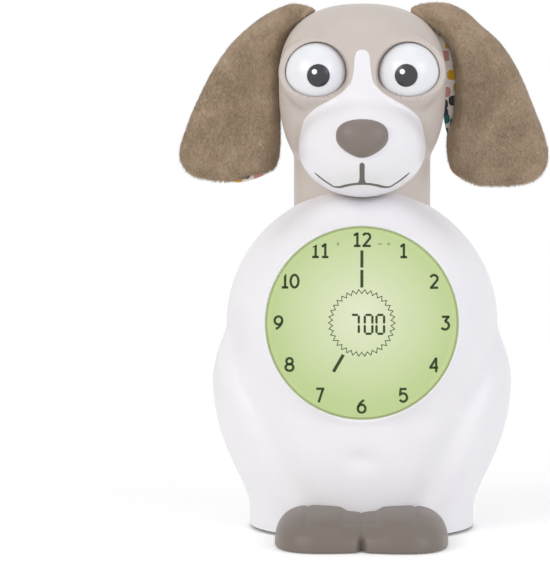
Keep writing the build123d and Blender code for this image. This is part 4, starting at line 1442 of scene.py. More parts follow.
@dataclass
class HeadForm(Form):
    """The head: a rounded cranium with a muzzle, a neck, raised eye rims and lower lids."""

    body: BodyForm
    cranium_radius: float = 37.4
    cranium_height: float = 200.0
    cranium_top: float = 35.0
    cranium_low: float = 47.0
    power: float = 2.5
    muzzle_centre: tuple = (0.0, -26.0, 171.0)
    muzzle_radii: tuple = (27.5, 33.0, 21.6)
    neck: tuple = (30.7, 27.0, 4.0)
    neck_sink: float = 1.2
    eye_centre: tuple = (20.2, -27.0, 203.5)
    rim_radius: float = 16.5
    rim_lean: tuple = (0.12, -1.0, 0.0)
    rim_reach: float = 6.8
    lid_lean: tuple = (0.0, -0.8, 0.6)
    lid_reach: float = 2.2
    muzzle_round: float = 6.0
    neck_round: float = 1.2
    neck_top: float = 192.0
    lid_round: float = 2.0
    rim_edge: float = 1.2
    rim_root: float = 3.5
    rims: bool = True

    def value(self, points: Array) -> Array:
        """How far points lie outside the head, roughly.

        Args:
            points: One row per point.

        Returns:
            Distances, negative inside.
        """
        x, y, z = points.T
        rise = z - self.cranium_height
        reach = np.where(rise > 0, self.cranium_top, self.cranium_low)
        radial = np.hypot(x, y) / self.cranium_radius
        cranium = (radial**self.power + np.abs(rise / reach) ** self.power) ** (1 / self.power)
        cranium = (cranium - 1) * self.cranium_radius
        muzzle = ellipsoid_field(points, self.muzzle_centre, self.muzzle_radii)
        wide, deep, shift = self.neck
        neck = (np.hypot(x / wide, (y - shift) / deep) - 1) * deep
        neck = np.maximum(neck, z - self.neck_top)
        head = soft_min(soft_min(cranium, muzzle, self.muzzle_round), neck, self.neck_round)
        if self.rims:
            from_eye = np.stack([np.abs(x), y, z], axis=1) - np.array(self.eye_centre)
            lean = np.array(self.rim_lean) / np.linalg.norm(self.rim_lean)
            ball = np.linalg.norm(from_eye, axis=1)
            over_lid = from_eye @ np.array(self.lid_lean) - self.lid_reach
            ahead = soft_min(from_eye @ lean - self.rim_reach, over_lid, self.lid_round)
            rim = soft_max(ball - self.rim_radius, ahead, self.rim_edge)
            head = soft_min(head, rim, self.rim_root)
        return np.maximum(head, -self.neck_sink - self.body.value(points))

    def normals(self, points: Array, step: float = 0.15) -> Array:
        """Outward directions of the surface.

        Args:
            points: Points on the surface.
            step: How far apart the field is read.

        Returns:
            Unit directions.
        """
        slopes = []
        for axis in range(3):
            shift = np.zeros(3)
            shift[axis] = step
            slopes.append(self.value(points + shift) - self.value(points - shift))
        slope = np.stack(slopes, axis=1)
        return slope / np.maximum(np.linalg.norm(slope, axis=1, keepdims=True), 1e-9)

    def front_points(self, across: Array, up: Array) -> Array:
        """Surface points that are seen straight from the front.

        Args:
            across: Places across.
            up: Heights.

        Returns:
            The points.
        """
        origin = np.stack([across, np.zeros_like(across), up], axis=1)
        rays = np.tile(np.array([0, -1.0, 0]), (len(across), 1))
        return self.trace(origin, rays, 80.0, 160)


@dataclass
class SocketForm(Form):
    """The space for one eyeball: a ball, open towards the front above the lower lid."""

    centre: tuple
    radius: float = 14.5
    open_from: float = 5.9
    flare: float = 0.3
    reach: float = 24.0
    lid_lean: tuple = (0.0, -0.8, 0.6)
    lid_reach: float = 2.2
    lid_round: float = 1.5

    def value(self, points: Array) -> Array:
        """How far points lie outside the space, roughly.

        Args:
            points: One row per point.

        Returns:
            Distances, negative inside.
        """
        away = points - np.array(self.centre)
        ball = np.linalg.norm(away, axis=1) - self.radius
        ahead = -away[:, 1]
        mouth = math.sqrt(self.radius**2 - self.open_from**2)
        cone = np.hypot(away[:, 0], away[:, 2]) - mouth - self.flare * (ahead - self.open_from)
        cone = np.maximum(cone, np.maximum(self.open_from - ahead, ahead - self.reach))
        above = self.lid_reach - away @ np.array(self.lid_lean)
        return np.minimum(ball, soft_max(cone, above, self.lid_round))

    def tool(self) -> Piece:
        """A closed mesh of the space, for cutting."""
        tilts = np.radians(np.linspace(1.5, 178.5, 120))
        return front_skin("socket_tool", self, np.array(self.centre), tilts, 180, 40.0)


def ribbon(
    name: str, middle: Array, normals: Array, half_widths: Array, rise: float
) -> Piece:
    """A thin raised line that lies on a surface.

    Args:
        name: The object's name.
        middle: The line's points.
        normals: The surface's outward directions there.
        half_widths: Half the line's width at each point.
        rise: How far its middle stands proud.

    Returns:
        The object.
    """
    along = np.gradient(middle, axis=0)
    along /= np.linalg.norm(along, axis=1, keepdims=True)
    side = np.cross(normals, along)
    side /= np.linalg.norm(side, axis=1, keepdims=True)
    rows = []
    for share, lift in ((-1.0, -0.25), (-0.8, 0.7), (0.0, 1.0), (0.8, 0.7), (1.0, -0.25)):
        rows.append(middle + side * (half_widths * share)[:, None] + normals * (rise * lift))
    points = np.stack(rows, axis=1).reshape(-1, 3)
    return mesh_object(name, points, grid_faces(len(middle), 5))


def run_lengths(line: Array, power: float = 1.0) -> Array:
    """How far along a line each of its points lies, with each run raised to a power."""
    runs = np.linalg.norm(np.diff(line, axis=0), axis=1) ** power
    return np.concatenate([[0], np.cumsum(runs)])


def resampled(line: Array, count: int, closed: bool = False) -> Array:
    """Evenly spaced points along a dense line.

    Args:
        line: The dense line.
        count: How many points are wanted.
        closed: Whether the last point is left out, being the first.

    Returns:
        The points.
    """
    length = run_lengths(line)
    wanted = np.linspace(0, length[-1], count, endpoint=not closed)
    return np.stack([np.interp(wanted, length, values) for values in line.T], axis=1)


def smooth_path(points: Outline, count: int) -> Array:
    """A smooth open line through points, evenly sampled.

    Args:
        points: What it passes through.
        count: How many points are wanted.

    Returns:
        The line's points.
    """
    corners = np.array(points, float)
    steps = list(run_lengths(corners))
    dense = [smooth_table(steps, list(values))[1] for values in corners.T]
    return resampled(np.stack(dense, axis=1), count)


@dataclass
class Head:
    """The taupe head with its white face plate, mouth line and nose."""

    form: HeadForm
    split: float = 10.0
    seam: float = 0.06
    origin: tuple = (0.0, -10.0, 190.0)
    screw_places: tuple = ((29.5, 178.0), (-29.5, 178.0), (23.4, 163.0), (-23.4, 163.0))
    mask_origin: tuple = (0.0, -26.0, 177.0)
    mask_rows: tuple = (
        (213.4, 0.0), (213.1, 1.3), (212.2, 2.4), (210.4, 3.2), (207.0, 3.5), (203.3, 3.9), (198.1, 5.6),
        (194.2, 9.4), (191.4, 14.0), (188.0, 20.2), (183.4, 25.0), (177.0, 27.4), (170.0, 28.2),
        (164.0, 29.0), (150.0, 29.0), (120.0, 29.0),
    )
    ear_pivot: tuple = (19.0, 226.0)
    slot_radius: float = 9.0
    slot_depth: tuple = (5.4, 14.6)
    screw_hole: float = 2.8
    screw_seat: float = 14.5
    screw_end: float = 60.0
    rear_wall: float = 2.0
    mask_back: float = -27.2
    mask_rise: float = 0.35
    mask_root: float = 0.9
    mask_peak: float = 13.0
    mask_reach: float = 118.0
    mask_far: float = 70.0
    lid_heights: tuple = (179.0, 184.0)
    smile: tuple = (
        (-20.4, 160.2), (-17.6, 157.9), (-14.5, 155.7), (-11.6, 154.1), (-9.4, 154.1), (-6.6, 154.8),
        (-3.3, 155.4), (0.0, 155.6),
    )
    smile_half_width: float = 0.92
    line_rise: float = 0.14
    groove_heights: tuple = (155.4, 156.6, 158.0, 163.6, 164.3, 164.6)
    groove_half_widths: tuple = (2.1, 1.4, 1.1, 1.15, 0.8, 0.2)
    nose_centre: tuple = (0.0, -57.0, 174.6)
    nose_radii: tuple = (11.2, 7.0, 8.4)
    nose_crown: float = 0.82
    nose_square: float = 0.92
    nose_taper: tuple = (0.10, 0.30)
    nose_overhang: float = 0.7

    def __post_init__(self) -> None:
        """Works out the plain form and the face plate's outline."""
        self.plain = HeadForm(self.form.body, rims=False)
        rows = self.mask_rows[::-1]
        self.mask_table = smooth_table([row[0] for row in rows], [row[1] for row in rows])

    def shell(self) -> tuple[Piece, Piece]:
        """The head's front and rear halves.

        Returns:
            The front half and the rear half.
        """
        tilts = np.radians(np.concatenate([np.linspace(0.8, 80, 170), np.linspace(81.5, 179.2, 70)]))
        whole = front_skin("head_front_skin", self.form, np.array(self.origin), tilts, 320, 110.0)
        cut(whole, joined("head_spaces", self.spaces()))
        rear = twin(whole, "head_rear_skin")
        keep_half(whole, (0, self.split - self.seam, 0), (0, 1, 0))
        keep_half(rear, (0, self.split + self.seam, 0), (0, -1, 0))
        thicken(rear, self.rear_wall)
        holes = [circle(self.screw_hole, *place) for place in self.screw_places]
        tools = [prism("tool", hole, self.screw_seat, self.screw_end) for hole in holes]
        cut(rear, joined("head_tools", tools))
        return smooth_by_angle(whole, 38), smooth_by_angle(rear, 38)

    def spaces(self) -> list[Piece]:
        """The eye sockets and the slots that the ears' roots turn in.

        Returns:
            Closed meshes for cutting.
        """
        made = []
        x, y, z = self.form.eye_centre
        pivot_x, pivot_z = self.ear_pivot
        for side in Side:
            made.append(SocketForm((side.value * x, y, z)).tool())
            slot = circle(self.slot_radius, side.value * pivot_x, pivot_z)
            made.append(prism("slot_tool", slot, *self.slot_depth))
        return made

    def mask_excess(self, points: Array) -> Array:
        """Positive where surface points lie outside the face plate's outline."""
        half = np.interp(points[:, 2], *self.mask_table, left=29.0, right=-5.0)
        return np.maximum(np.abs(points[:, 0]) - half, points[:, 1] - self.mask_back)

    def over_lids(self, points: Array) -> Array:
        """Brings the plate's upper part forward, over the eye rims' roots.

        Args:
            points: Points of the plate.

        Returns:
            The points, moved.
        """
        front = self.form.front_points(points[:, 0], points[:, 2])
        low, high = self.lid_heights
        share = np.clip((points[:, 2] - low) / (high - low), 0, 1)
        lift = np.clip(points[:, 1] - front[:, 1], 0, 6) * share
        return points - np.outer(lift, np.array([0, 1.0, 0]))

    def mask(self) -> Piece:
        """The white face plate, a thin sheet on the front of the head with a rounded edge.

        Returns:
            The piece.
        """
        peak = self.mask_peak
        fine = np.radians(np.linspace(90 - peak, 90 + peak, 141))
        coarse = np.radians(np.linspace(90 + peak + 1, 450 - peak - 1, 300))
        turns = np.concatenate([fine, coarse])
        around = np.stack([np.cos(turns), np.zeros_like(turns), np.sin(turns)], axis=1)
        origin = np.array(self.mask_origin)
        forward = np.array([0, -1.0, 0])

        def at(tilts: Array) -> Array:
            """The head's surface at angles from the front."""
            rays = np.cos(tilts)[:, None] * forward + np.sin(tilts)[:, None] * around
            return self.plain.trace(origin, rays, self.mask_far, 60)

        low = np.zeros(len(turns))
        high = np.full(len(turns), math.radians(self.mask_reach))
        for _ in range(18):
            middle = (low + high) / 2
            outside = self.mask_excess(at(middle)) > 0
            high = np.where(outside, middle, high)
            low = np.where(outside, low, middle)
        padded = np.concatenate([low[-4:], low, low[:4]])
        low = np.convolve(padded, np.array([1, 2, 3, 4, 5, 4, 3, 2, 1]) / 25, "valid")
        shares = np.concatenate([np.linspace(0.02, 0.96, 64), [0.97, 0.98, 0.988, 0.994, 0.998, 1.0]])
        drops = np.concatenate([np.zeros(64), [0.0, 0.0, 0.02, 0.08, 0.2, 0.4]])
        rings = []
        for share, drop in zip(shares, drops):
            points = self.over_lids(at(low * share))
            rings.append(points + self.form.normals(points) * (self.mask_rise - drop))
        points = self.over_lids(at(low))
        rings.append(points - self.form.normals(points) * self.mask_root)
        tip = self.plain.trace(origin, forward[None], self.mask_far)[0] + forward * self.mask_rise
        piece = ring_mesh("face_plate", np.array(rings), tip=tip)
        return smooth_by_angle(piece, 50)

    def mouth(self) -> Piece:
        """The mouth's curve and the groove below the nose.

        Returns:
            The piece.
        """
        left = smooth_path(list(self.smile), 60)
        curve = np.vstack([left, (left * np.array([-1, 1]))[::-1][1:]])
        order = np.arange(len(curve))
        taper = np.minimum(1, np.minimum(order, order[::-1]) / 8 + 0.3)
        heights = np.linspace(self.groove_heights[-1], self.groove_heights[0], 24)
        widths = np.interp(heights, self.groove_heights, self.groove_half_widths)
        lines = (
            ("smile", curve[:, 0], curve[:, 1], self.smile_half_width * taper),
            ("groove", np.zeros(24), heights, widths),
        )
        pieces = []
        for name, across, up, half_widths in lines:
            points = self.form.front_points(across, up)
            normals = self.form.normals(points)
            middle = points + normals * self.mask_rise
            pieces.append(ribbon(name, middle, normals, half_widths, self.line_rise))
        return joined("mouth_line", pieces)

    def nose(self) -> Piece:
        """A nose that is broad and level on top and round below.

        Returns:
            The piece.
        """
        tilts = np.radians(np.linspace(1.5, 178.5, 60))
        turns = np.linspace(0, 2 * math.pi, 96, endpoint=False)
        wide, deep, tall = self.nose_radii
        widen, narrow = self.nose_taper
        rings = []
        for tilt in tilts:
            out = np.cos(tilt)
            across = np.sin(tilt) * np.cos(turns)
            up = np.sin(tilt) * np.sin(turns)
            level = np.where(up > 0, np.sign(up) * np.abs(up) ** self.nose_crown, up)
            broad = across * (1 + widen * up - narrow * np.clip(-up, 0, 1) ** 2)
            x = wide * np.sign(broad) * np.abs(broad) ** self.nose_square
            y = -deep * out * np.ones_like(turns) - self.nose_overhang * np.clip(up, 0, 1) * np.sin(tilt)
            z = tall * level
            rings.append(np.stack([x, y, z], axis=1) + np.array(self.nose_centre))
        tip = np.array(self.nose_centre) - np.array([0, deep, 0])
        piece = ring_mesh("nose_skin", np.array(rings), tip=tip)
        return smooth_by_angle(modified(piece, "SMOOTH", iterations=4), 60)


@dataclass
class PawForm(Form):
    """The two front paws, run together in the middle."""

    body: BodyForm
    centre: tuple = (16.6, -50.0, 0.5)
    radii: tuple = (20.8, 33.0, 15.0)
    power: float = 2.7
    bridge: tuple = (12.0, 29.0, 14.0)
    step: tuple = (6.0, 3.6, 1.5)
    step_heights: tuple = (6.0, 11.0)
    between_round: float = 3.5
    notch_height: float = 9.0
    notch_depth: tuple = (0.25, 1.0)
    notch_width: tuple = (0.8, 0.9)
    crease: float = 23.0
    crease_heights: tuple = (7.0, 14.0)
    crease_lean: tuple = (0.12, 17.0)
    crease_depth: float = 0.55
    crease_width: float = 1.1
    floor: float = 0.2
    floor_round: float = 0.6
    body_gap: float = 0.05

    def value(self, points: Array) -> Array:
        """How far points lie outside the paws, roughly.

        Args:
            points: One row per point.

        Returns:
            Distances, negative inside.
        """
        mirrored = points * np.array([0, 1, 1]) + np.abs(points) * np.array([1, 0, 0])
        paw = superellipsoid_field(mirrored, self.centre, self.radii, self.power)
        bridge = superellipsoid_field(points, (0.0, *self.centre[1:]), self.bridge, self.power)
        whole = soft_min(paw, bridge, self.between_round)
        x, z = np.abs(points[:, 0]), points[:, 2]
        low = np.clip((self.notch_height - z) / self.notch_height, 0, 1)
        depth, deeper = self.notch_depth
        width, wider = self.notch_width
        whole = whole + (depth + deeper * low) * np.exp(-((x / (width + wider * low)) ** 2))
        start, end = self.crease_heights
        high = np.clip((z - start) / (end - start), 0, 1)
        slope, level = self.crease_lean
        beside = (x - self.crease - slope * (level - z)) / self.crease_width
        whole = whole + self.crease_depth * high * np.exp(-(beside**2))
        inner, ramp, drop = self.step
        start, end = self.step_heights
        upper = np.clip((z - start) / (end - start), 0, 1)
        whole = whole + drop * upper * np.clip((inner + ramp - x) / ramp, 0, 1)
        whole = soft_max(whole, self.floor - z, self.floor_round)
        return np.maximum(whole, self.body_gap - self.body.value(points))


@dataclass
class Paws:
    """The dark paws in front of the body."""

    form: PawForm
    origin: tuple = (0.0, -56.0, 5.0)

    def skin(self) -> Piece:
        """The paws' whole surface.

        Returns:
            The piece.
        """
        tilts = np.radians(np.linspace(0.8, 176, 150))
        piece = front_skin("paws_skin", self.form, np.array(self.origin), tilts, 440, 80.0, closed=False)
        return smooth_by_angle(piece, 45)


def closed_curve(corners: Outline, count: int) -> Array:
    """A smooth closed line through points, evenly sampled.

    Args:
        corners: What it passes through.
        count: How many points are wanted.

    Returns:
        The line's points.
    """
    points = np.array(corners, float)
    wrapped = np.vstack([points[-3:], points, points[:3]])
    steps = run_lengths(wrapped, 0.5)
    dense = np.linspace(steps[3], steps[3 + len(points)], 1600)
    tables = [smooth_table(list(steps), list(values)) for values in wrapped.T]
    return resampled(np.stack([np.interp(dense, *table) for table in tables], axis=1), count, closed=True)


@dataclass
class Ear:
    """One hanging ear: a padded plush front with a printed cotton lining behind it."""

    side: Side
    outline: tuple
    lining_outline: tuple
    body: str
    node_side: str
    front: float = 5.6
    back: float = 12.5
    lining_back: float = 13.9
    edge_round: float = 8.5
    closing: float = 0.985
    spine: tuple = ((36.0, 224.0), (61.0, 170.0))
    pivot: tuple = (19.0, 226.0)
    hub_radius: float = 5.0
    hub_bore: float = 0.9
    hub_round: float = 0.8
    hub_front: float = 6.1
    waves: float = 1.8
    fold_top: float = 228.0
    fold_fade: float = 60.0
    fold: tuple = (0.35, 5.2, 0.6, 0.55)
    sag: tuple = (0.2, 8.3, 0.45)
    lining_gap: float = 0.1
    lining_edge: float = 2.0
    bare_root: float = 9.5
    comb: tuple = (0.12, 0.0, -0.7)
    stand: float = 0.75
    tousle: float = 0.16
    fibres: int = 26000
    fibre_length: tuple = (0.9, 1.5)
    fibre_width: float = 0.13
    allowance: float = 1.1
    voxel: float = 1.5
    pressure: float = 4.0
    frames: int = 20
    enlarged: float = 4.0
    swell: float = 1.6
    sideways: float = 0.1
    held: tuple = (8.0, 20.0)

    def towards_spine(self, outline: Array) -> Array:
        """The spine's nearest point to each outline point.

        Args:
            outline: The outline's points.

        Returns:
            One spine point for each.
        """
        start, end = (np.array(place) for place in self.spine)
        along = end - start
        share = np.clip((outline - start) @ along / (along @ along), 0.04, 0.96)
        blend = np.convolve(np.concatenate([share[-8:], share, share[:8]]), np.ones(17) / 17, "valid")
        return start + blend[:, None] * along

    def folds(self, across: Array, up: Array) -> Array:
        """Gentle waves that run down a hanging ear.

        Args:
            across: Places across.
            up: Heights.

        Returns:
            How far back the pad's face lies.
        """
        drop = self.fold_top - up
        lean, length, start, depth = self.fold
        wave = np.sin((across - lean * drop) / length + start) * depth
        lean, length, depth = self.sag
        sag = np.sin((across + lean * up) / length) * depth
        return np.clip(drop / self.fold_fade, 0, 1) * (wave + sag)

    def pad(
        self, name: str, corners: tuple, front: float, back: float, edge: float, waves: float, grow: float
    ) -> Piece:
        """A closed pad: a crowned front, a flat back and a rounded edge between them.

        Args:
            name: The object's name.
            corners: The outline's points, across and up.
            front: Where its front lies in depth.
            back: Where its back lies in depth.
            edge: How far in from the outline the crown is reached.
            waves: Share of the folds that it takes.
            grow: How far it is cut outside the outline.

        Returns:
            The object.
        """
        count = 220
        outline = closed_curve(list(corners), count)
        along = np.roll(outline, -1, axis=0) - np.roll(outline, 1, axis=0)
        outward = np.stack([-along[:, 1], along[:, 0]], axis=1)
        outward /= np.linalg.norm(outward, axis=1, keepdims=True)
        outline = outline + outward * grow
        inner = self.towards_spine(outline)
        reach = np.linalg.norm(outline - inner, axis=1)
        shares = (1 - np.cos(np.linspace(0, math.pi / 2, 34))) * self.closing
        middle = front * 0.35 + back * 0.65
        layers = [(share, front, edge, waves) for share in shares[::-1]]
        layers += [(share, back, edge * 0.35, 0.0) for share in shares[1:]]
        rings = []
        for share, face, rounding, fold in layers:
            flat = outline + (inner - outline) * share
            inward = np.clip(reach * share / rounding, 0, 1)
            crown = np.sqrt(1 - (1 - inward) ** 2)
            wave = fold * self.folds(flat[:, 0], flat[:, 1]) * crown
            rings.append(upright(flat, middle + (face - middle) * crown + wave))
        rings = np.array(rings)
        rings[:, :, 0] *= self.side.value
        rows, columns, _ = rings.shape
        faces = grid_faces(rows, columns, wrap=True)
        piece = mesh_object(name, rings.reshape(-1, 3), faces)
        edit = bmesh.new()
        edit.from_mesh(piece.data)
        bmesh.ops.remove_doubles(edit, verts=edit.verts, dist=0.00002)
        bmesh.ops.holes_fill(edit, edges=edit.edges, sides=0)
        bmesh.ops.recalc_face_normals(edit, faces=edit.faces)
        for face in edit.faces:
            face.smooth = True
        edit.to_mesh(piece.data)
        edit.free()
        return piece

    def stuffed(self, pad: Piece) -> Piece:
        """Swells a pad as simulated cloth over its filling, held at its root and along its back.

        Args:
            pad: A closed pad.

        Returns:
            The same object with its new mesh.
        """
        modified(pad, "REMESH", mode="VOXEL", voxel_size=self.voxel * MM)
        count = len(pad.data.vertices)
        start = np.empty(count * 3, np.float32)
        end = np.empty(count * 3, np.float32)
        pad.data.vertices.foreach_get("co", start)
        pad.data.vertices.foreach_set("co", start * self.enlarged)
        cloth = pad.modifiers.new("filling", "CLOTH")
        cloth.settings.use_pressure = True
        cloth.settings.uniform_pressure_force = self.pressure
        cloth.settings.effector_weights.gravity = 0.0
        cloth.point_cache.frame_start = 1
        cloth.point_cache.frame_end = self.frames
        for frame in range(1, self.frames + 1):
            bpy.context.scene.frame_set(frame)
        bake_modifiers(pad)
        bpy.context.scene.frame_set(1)
        pad.data.vertices.foreach_get("co", end)
        places = start.reshape(-1, 3) / MM
        shares = np.array([self.sideways, 1.0, self.sideways])
        move = (end.reshape(-1, 3) / self.enlarged / MM - places) * shares
        move[:, 1] = np.minimum(move[:, 1], 0)
        length = np.linalg.norm(move, axis=1)
        LOG.info("%s swells by up to %.2f mm", pad.name, length.max())
        root = np.array(self.pivot) * np.array([self.side.value, 1.0])
        near, far = self.held
        free = np.clip((np.linalg.norm(places[:, [0, 2]] - root, axis=1) - near) / (far - near), 0, 1)
        share = free * np.minimum(1, self.swell / np.maximum(length, 1e-6))
        places = places + move * share[:, None]
        pad.data.vertices.foreach_set("co", (places * MM).astype(np.float32).ravel())
        return smooth_by_angle(modified(pad, "SUBSURF", levels=1, render_levels=1), 80)

    def hub(self, name: str, front: float, back: float) -> Piece:
        """The sewn root that turns on its rod inside the head.

        Args:
            name: The object's name.
            front: Where its front lies in depth.
            back: Where its back lies in depth.

        Returns:
            The object.
        """
        wide, bore, ease_off = self.hub_radius, self.hub_bore, self.hub_round
        profile = (
            (bore, front), (wide - ease_off, front), (wide, front + ease_off), (wide, back - ease_off),
            (wide - ease_off, back), (bore, back), (bore, front),
        )
        x, z = self.side.value * self.pivot[0], self.pivot[1]
        rows = [upright(np.array(circle(radius, x, z, 48)), depth) for radius, depth in profile]
        return ring_mesh(name, np.array(rows))

    def plush(self) -> Piece:
        """The padded front with its root.

        Returns:
            The piece.
        """
        name = f"ear_{self.node_side}_pad"
        pad = self.pad(
            name, self.outline, self.front, self.back, self.edge_round, self.waves, self.allowance
        )
        hub = self.hub(name + "_root", self.hub_front, self.back)
        return joined(name, [self.stuffed(pad), hub])

    def lining(self) -> Piece:
        """The thin printed back.

        Returns:
            The piece.
        """
        name = f"ear_{self.node_side}_cotton"
        front = self.back + self.lining_gap
        pad = self.pad(name, self.lining_outline, front, self.lining_back, self.lining_edge, 0.0, 0.0)
        return joined(name, [pad, self.hub(name + "_root", front, self.lining_back)])

    def nap(self, pad: Piece, finish: Material) -> Piece:
        """Short fibres over the pad, combed downwards.

        Args:
            pad: The finished pad.
            finish: What the fibres are made of.

        Returns:
            The fibres.
        """
        rng = np.random.default_rng(11 if self.side is Side.LEFT else 12)
        mesh = pad.data
        mesh.calc_loop_triangles()
        corners = np.array([vertex.co for vertex in mesh.vertices]) / MM
        triangles = np.array([tuple(triangle.vertices) for triangle in mesh.loop_triangles])
        a, b, c = (corners[triangles[:, index]] for index in range(3))
        normals = np.cross(b - a, c - a)
        area = np.linalg.norm(normals, axis=1)
        normals /= np.maximum(area[:, None], 1e-12)
        middle = (a + b + c) / 3
        outline = np.array([self.side.value, 1.0])
        clear = np.hypot(*(middle[:, [0, 2]] - np.array(self.pivot) * outline).T) > self.bare_root
        weight = area * clear * (middle[:, 1] < self.back - 0.6)
        chosen = rng.choice(len(triangles), self.fibres, p=weight / weight.sum())
        first, second = rng.random(self.fibres), rng.random(self.fibres)
        over = first + second > 1
        first[over], second[over] = 1 - first[over], 1 - second[over]
        spots = a[chosen] + first[:, None] * (b - a)[chosen] + second[:, None] * (c - a)[chosen]
        lean = normals[chosen] * self.stand + np.array(self.comb) * np.array([self.side.value, 1, 1])
        lean += rng.normal(0, self.tousle, lean.shape)
        lean /= np.linalg.norm(lean, axis=1, keepdims=True)
        turns = np.array([tuple(Vector(way).to_track_quat("Z", "Y").to_euler()) for way in lean])
        length = rng.uniform(*self.fibre_length, self.fibres)
        sizes = np.stack([np.full(self.fibres, 1.0), np.full(self.fibres, 1.0), length], axis=1)
        half = self.fibre_width / 2
        blade = np.array([(-half, 0, 0), (half, 0, 0), (0.02, 0, 1.0), (-0.02, 0, 1.0)])
        tile = mesh_object("fibre", blade, [(0, 1, 2, 3)], smooth=False)
        roots = spots - normals[chosen] * 0.1
        return repeat_on_points(f"ear_{self.node_side}_nap", roots, turns, sizes, tile, finish)


@dataclass
class EyeDetails:
    """Small touches on the eyeballs: the pupils' highlights and the lids' lash line."""

    centre: tuple = (20.2, -27.0, 203.5)
    radius: float = 14.0
    pupil_shift: tuple = (-1.2, -1.5)
    pupil_level: float = 14.25
    glint_radius: float = 1.15
    glint_shift: tuple = (-1.7, 1.6)
    lash_reach: float = 58.0
    lash_half_width: float = 0.45

    def glints(self) -> Piece:
        """A small round highlight on each pupil.

        Returns:
            Both highlights.
        """
        pieces = []
        for side in Side:
            centre = np.array(self.centre) * np.array([side.value, 1, 1])
            x = side.value * self.pupil_shift[0] + self.glint_shift[0]
            z = self.pupil_shift[1] + self.glint_shift[1]
            rings = []
            for share, level in ((0.12, 0.14), (0.5, 0.13), (0.8, 0.1), (1.0, 0.0)):
                ring = np.array(circle(self.glint_radius * share, x, z, 28))
                depth = np.sqrt((self.pupil_level + level) ** 2 - ring[:, 0] ** 2 - ring[:, 1] ** 2)
                rings.append(upright(ring, -depth) + centre)
            tip = np.array([x, -math.sqrt((self.pupil_level + 0.14) ** 2 - x * x - z * z), z]) + centre
            pieces.append(ring_mesh("glint", np.array(rings), tip=tip))
        return joined("eye_glints", pieces)

    def lashes(self) -> Piece:
        """The line along the closed lid's edge, on the side that is turned away when the eyes are open.

        Returns:
            Both lines.
        """
        pieces = []
        for side in Side:
            centre = np.array(self.centre) * np.array([side.value, 1, 1])
            angles = np.radians(np.linspace(-self.lash_reach, self.lash_reach, 50))
            drop = np.radians(14 + 5 * np.cos(angles * 1.5))
            normals = np.stack([
                np.sin(angles) * np.cos(drop), np.cos(angles) * np.cos(drop), np.sin(drop)
            ], axis=1)
            share = np.abs(angles) / math.radians(self.lash_reach)
            widths = self.lash_half_width * np.clip(1.15 - share**3, 0.15, 1)
            pieces.append(ribbon("lash", centre + normals * self.radius, normals, widths, 0.12))
        return joined("lash_lines", pieces)


def rear_icons(casing: BodyCasing) -> list[Piece]:
    """Plain signs printed on the six rear keys: a dial, a bell, a moon, a lamp, a plus and a minus.

    Args:
        casing: Where the keys stand.

    Returns:
        One printed sign for each key.
    """
    def band(outer: Outline, inner: Outline) -> list[Outline]:
        """The quads between two lines of as many points."""
        return [list(quad) for quad in zip(outer, outer[1:], inner[1:], inner)]

    def ring(radius: float, width: float) -> list[Outline]:
        """The quads of a ring about the middle."""
        outer, inner = circle(radius, 0, 0, 24), circle(radius - width, 0, 0, 24)
        return band(outer + outer[:1], inner + inner[:1])

    outer_turns = np.linspace(0.9, 2 * math.pi - 0.9, 20)
    inner_turns = np.linspace(1.25, 2 * math.pi - 1.25, 20)
    moon = band(
        [(1.7 * math.cos(turn), 1.7 * math.sin(turn)) for turn in outer_turns],
        [(0.75 + 1.4 * math.cos(turn), 1.4 * math.sin(turn)) for turn in inner_turns],
    )
    bell = [
        [(-1.5, -0.9), (1.5, -0.9), (0.95, 0.1), (-0.95, 0.1)],
        [(-0.95, 0.1), (0.95, 0.1), (0.6, 1.2), (-0.6, 1.2)],
        bar(-0.35, -1.5, 0.35, -1.05),
    ]
    lamp = ring(0.95, 0.95 - 0.05) + [spoke(step * math.pi / 4, 1.3, 1.9, 0.32) for step in range(8)]
    clock = ring(1.8, 0.32) + [bar(-0.16, 0.0, 0.16, 1.2), bar(0.0, -0.16, 0.9, 0.16)]
    minus = [bar(-1.6, -0.24, 1.6, 0.24)]
    plus = minus + [bar(-0.24, 0.24, 0.24, 1.6), bar(-0.24, -1.6, 0.24, -0.24)]
    made = []
    for name, (x, z), sign in zip(KEYS, casing.key_places, (clock, bell, moon, lamp, plus, minus)):
        flat, faces = separate_faces(sign)
        places = upright(np.array([x, z]) + flat * np.array([-1, 1]), casing.key_face)
        made.append(mesh_object(name + "_key_sign", places, faces, smooth=False))
    return made


RIGHT_OUTLINE = (
    (22.0, 232.8), (26.0, 234.6), (32.7, 235.9), (39.0, 235.2), (46.1, 231.8), (53.1, 225.6), (62.0, 217.4),
    (70.4, 204.6), (76.8, 189.3), (81.6, 176.6), (83.3, 169.0), (82.6, 162.6), (78.8, 157.4), (70.9, 155.0),
    (60.0, 154.2), (49.9, 155.6), (43.2, 159.4), (40.2, 163.6), (39.0, 169.0), (39.0, 176.6), (40.9, 182.0),
    (41.9, 191.9), (42.2, 202.1), (41.2, 210.5), (37.6, 220.4), (31.0, 226.6), (25.5, 229.6),
)
LEFT_OUTLINE = (
    (21.8, 232.6), (24.4, 233.8), (31.2, 235.2), (39.8, 232.4), (50.5, 225.2), (61.2, 214.7), (71.4, 198.1),
    (79.6, 178.7), (82.3, 168.0), (81.0, 163.0), (77.4, 159.3), (69.0, 157.0), (61.4, 156.4), (54.0, 158.0),
    (47.4, 160.2), (42.4, 160.6), (39.4, 163.2), (37.9, 171.0), (37.5, 184.0), (37.8, 196.0), (37.6, 207.0),
    (35.9, 217.0), (33.2, 224.0), (30.0, 228.2), (26.4, 231.0),
)
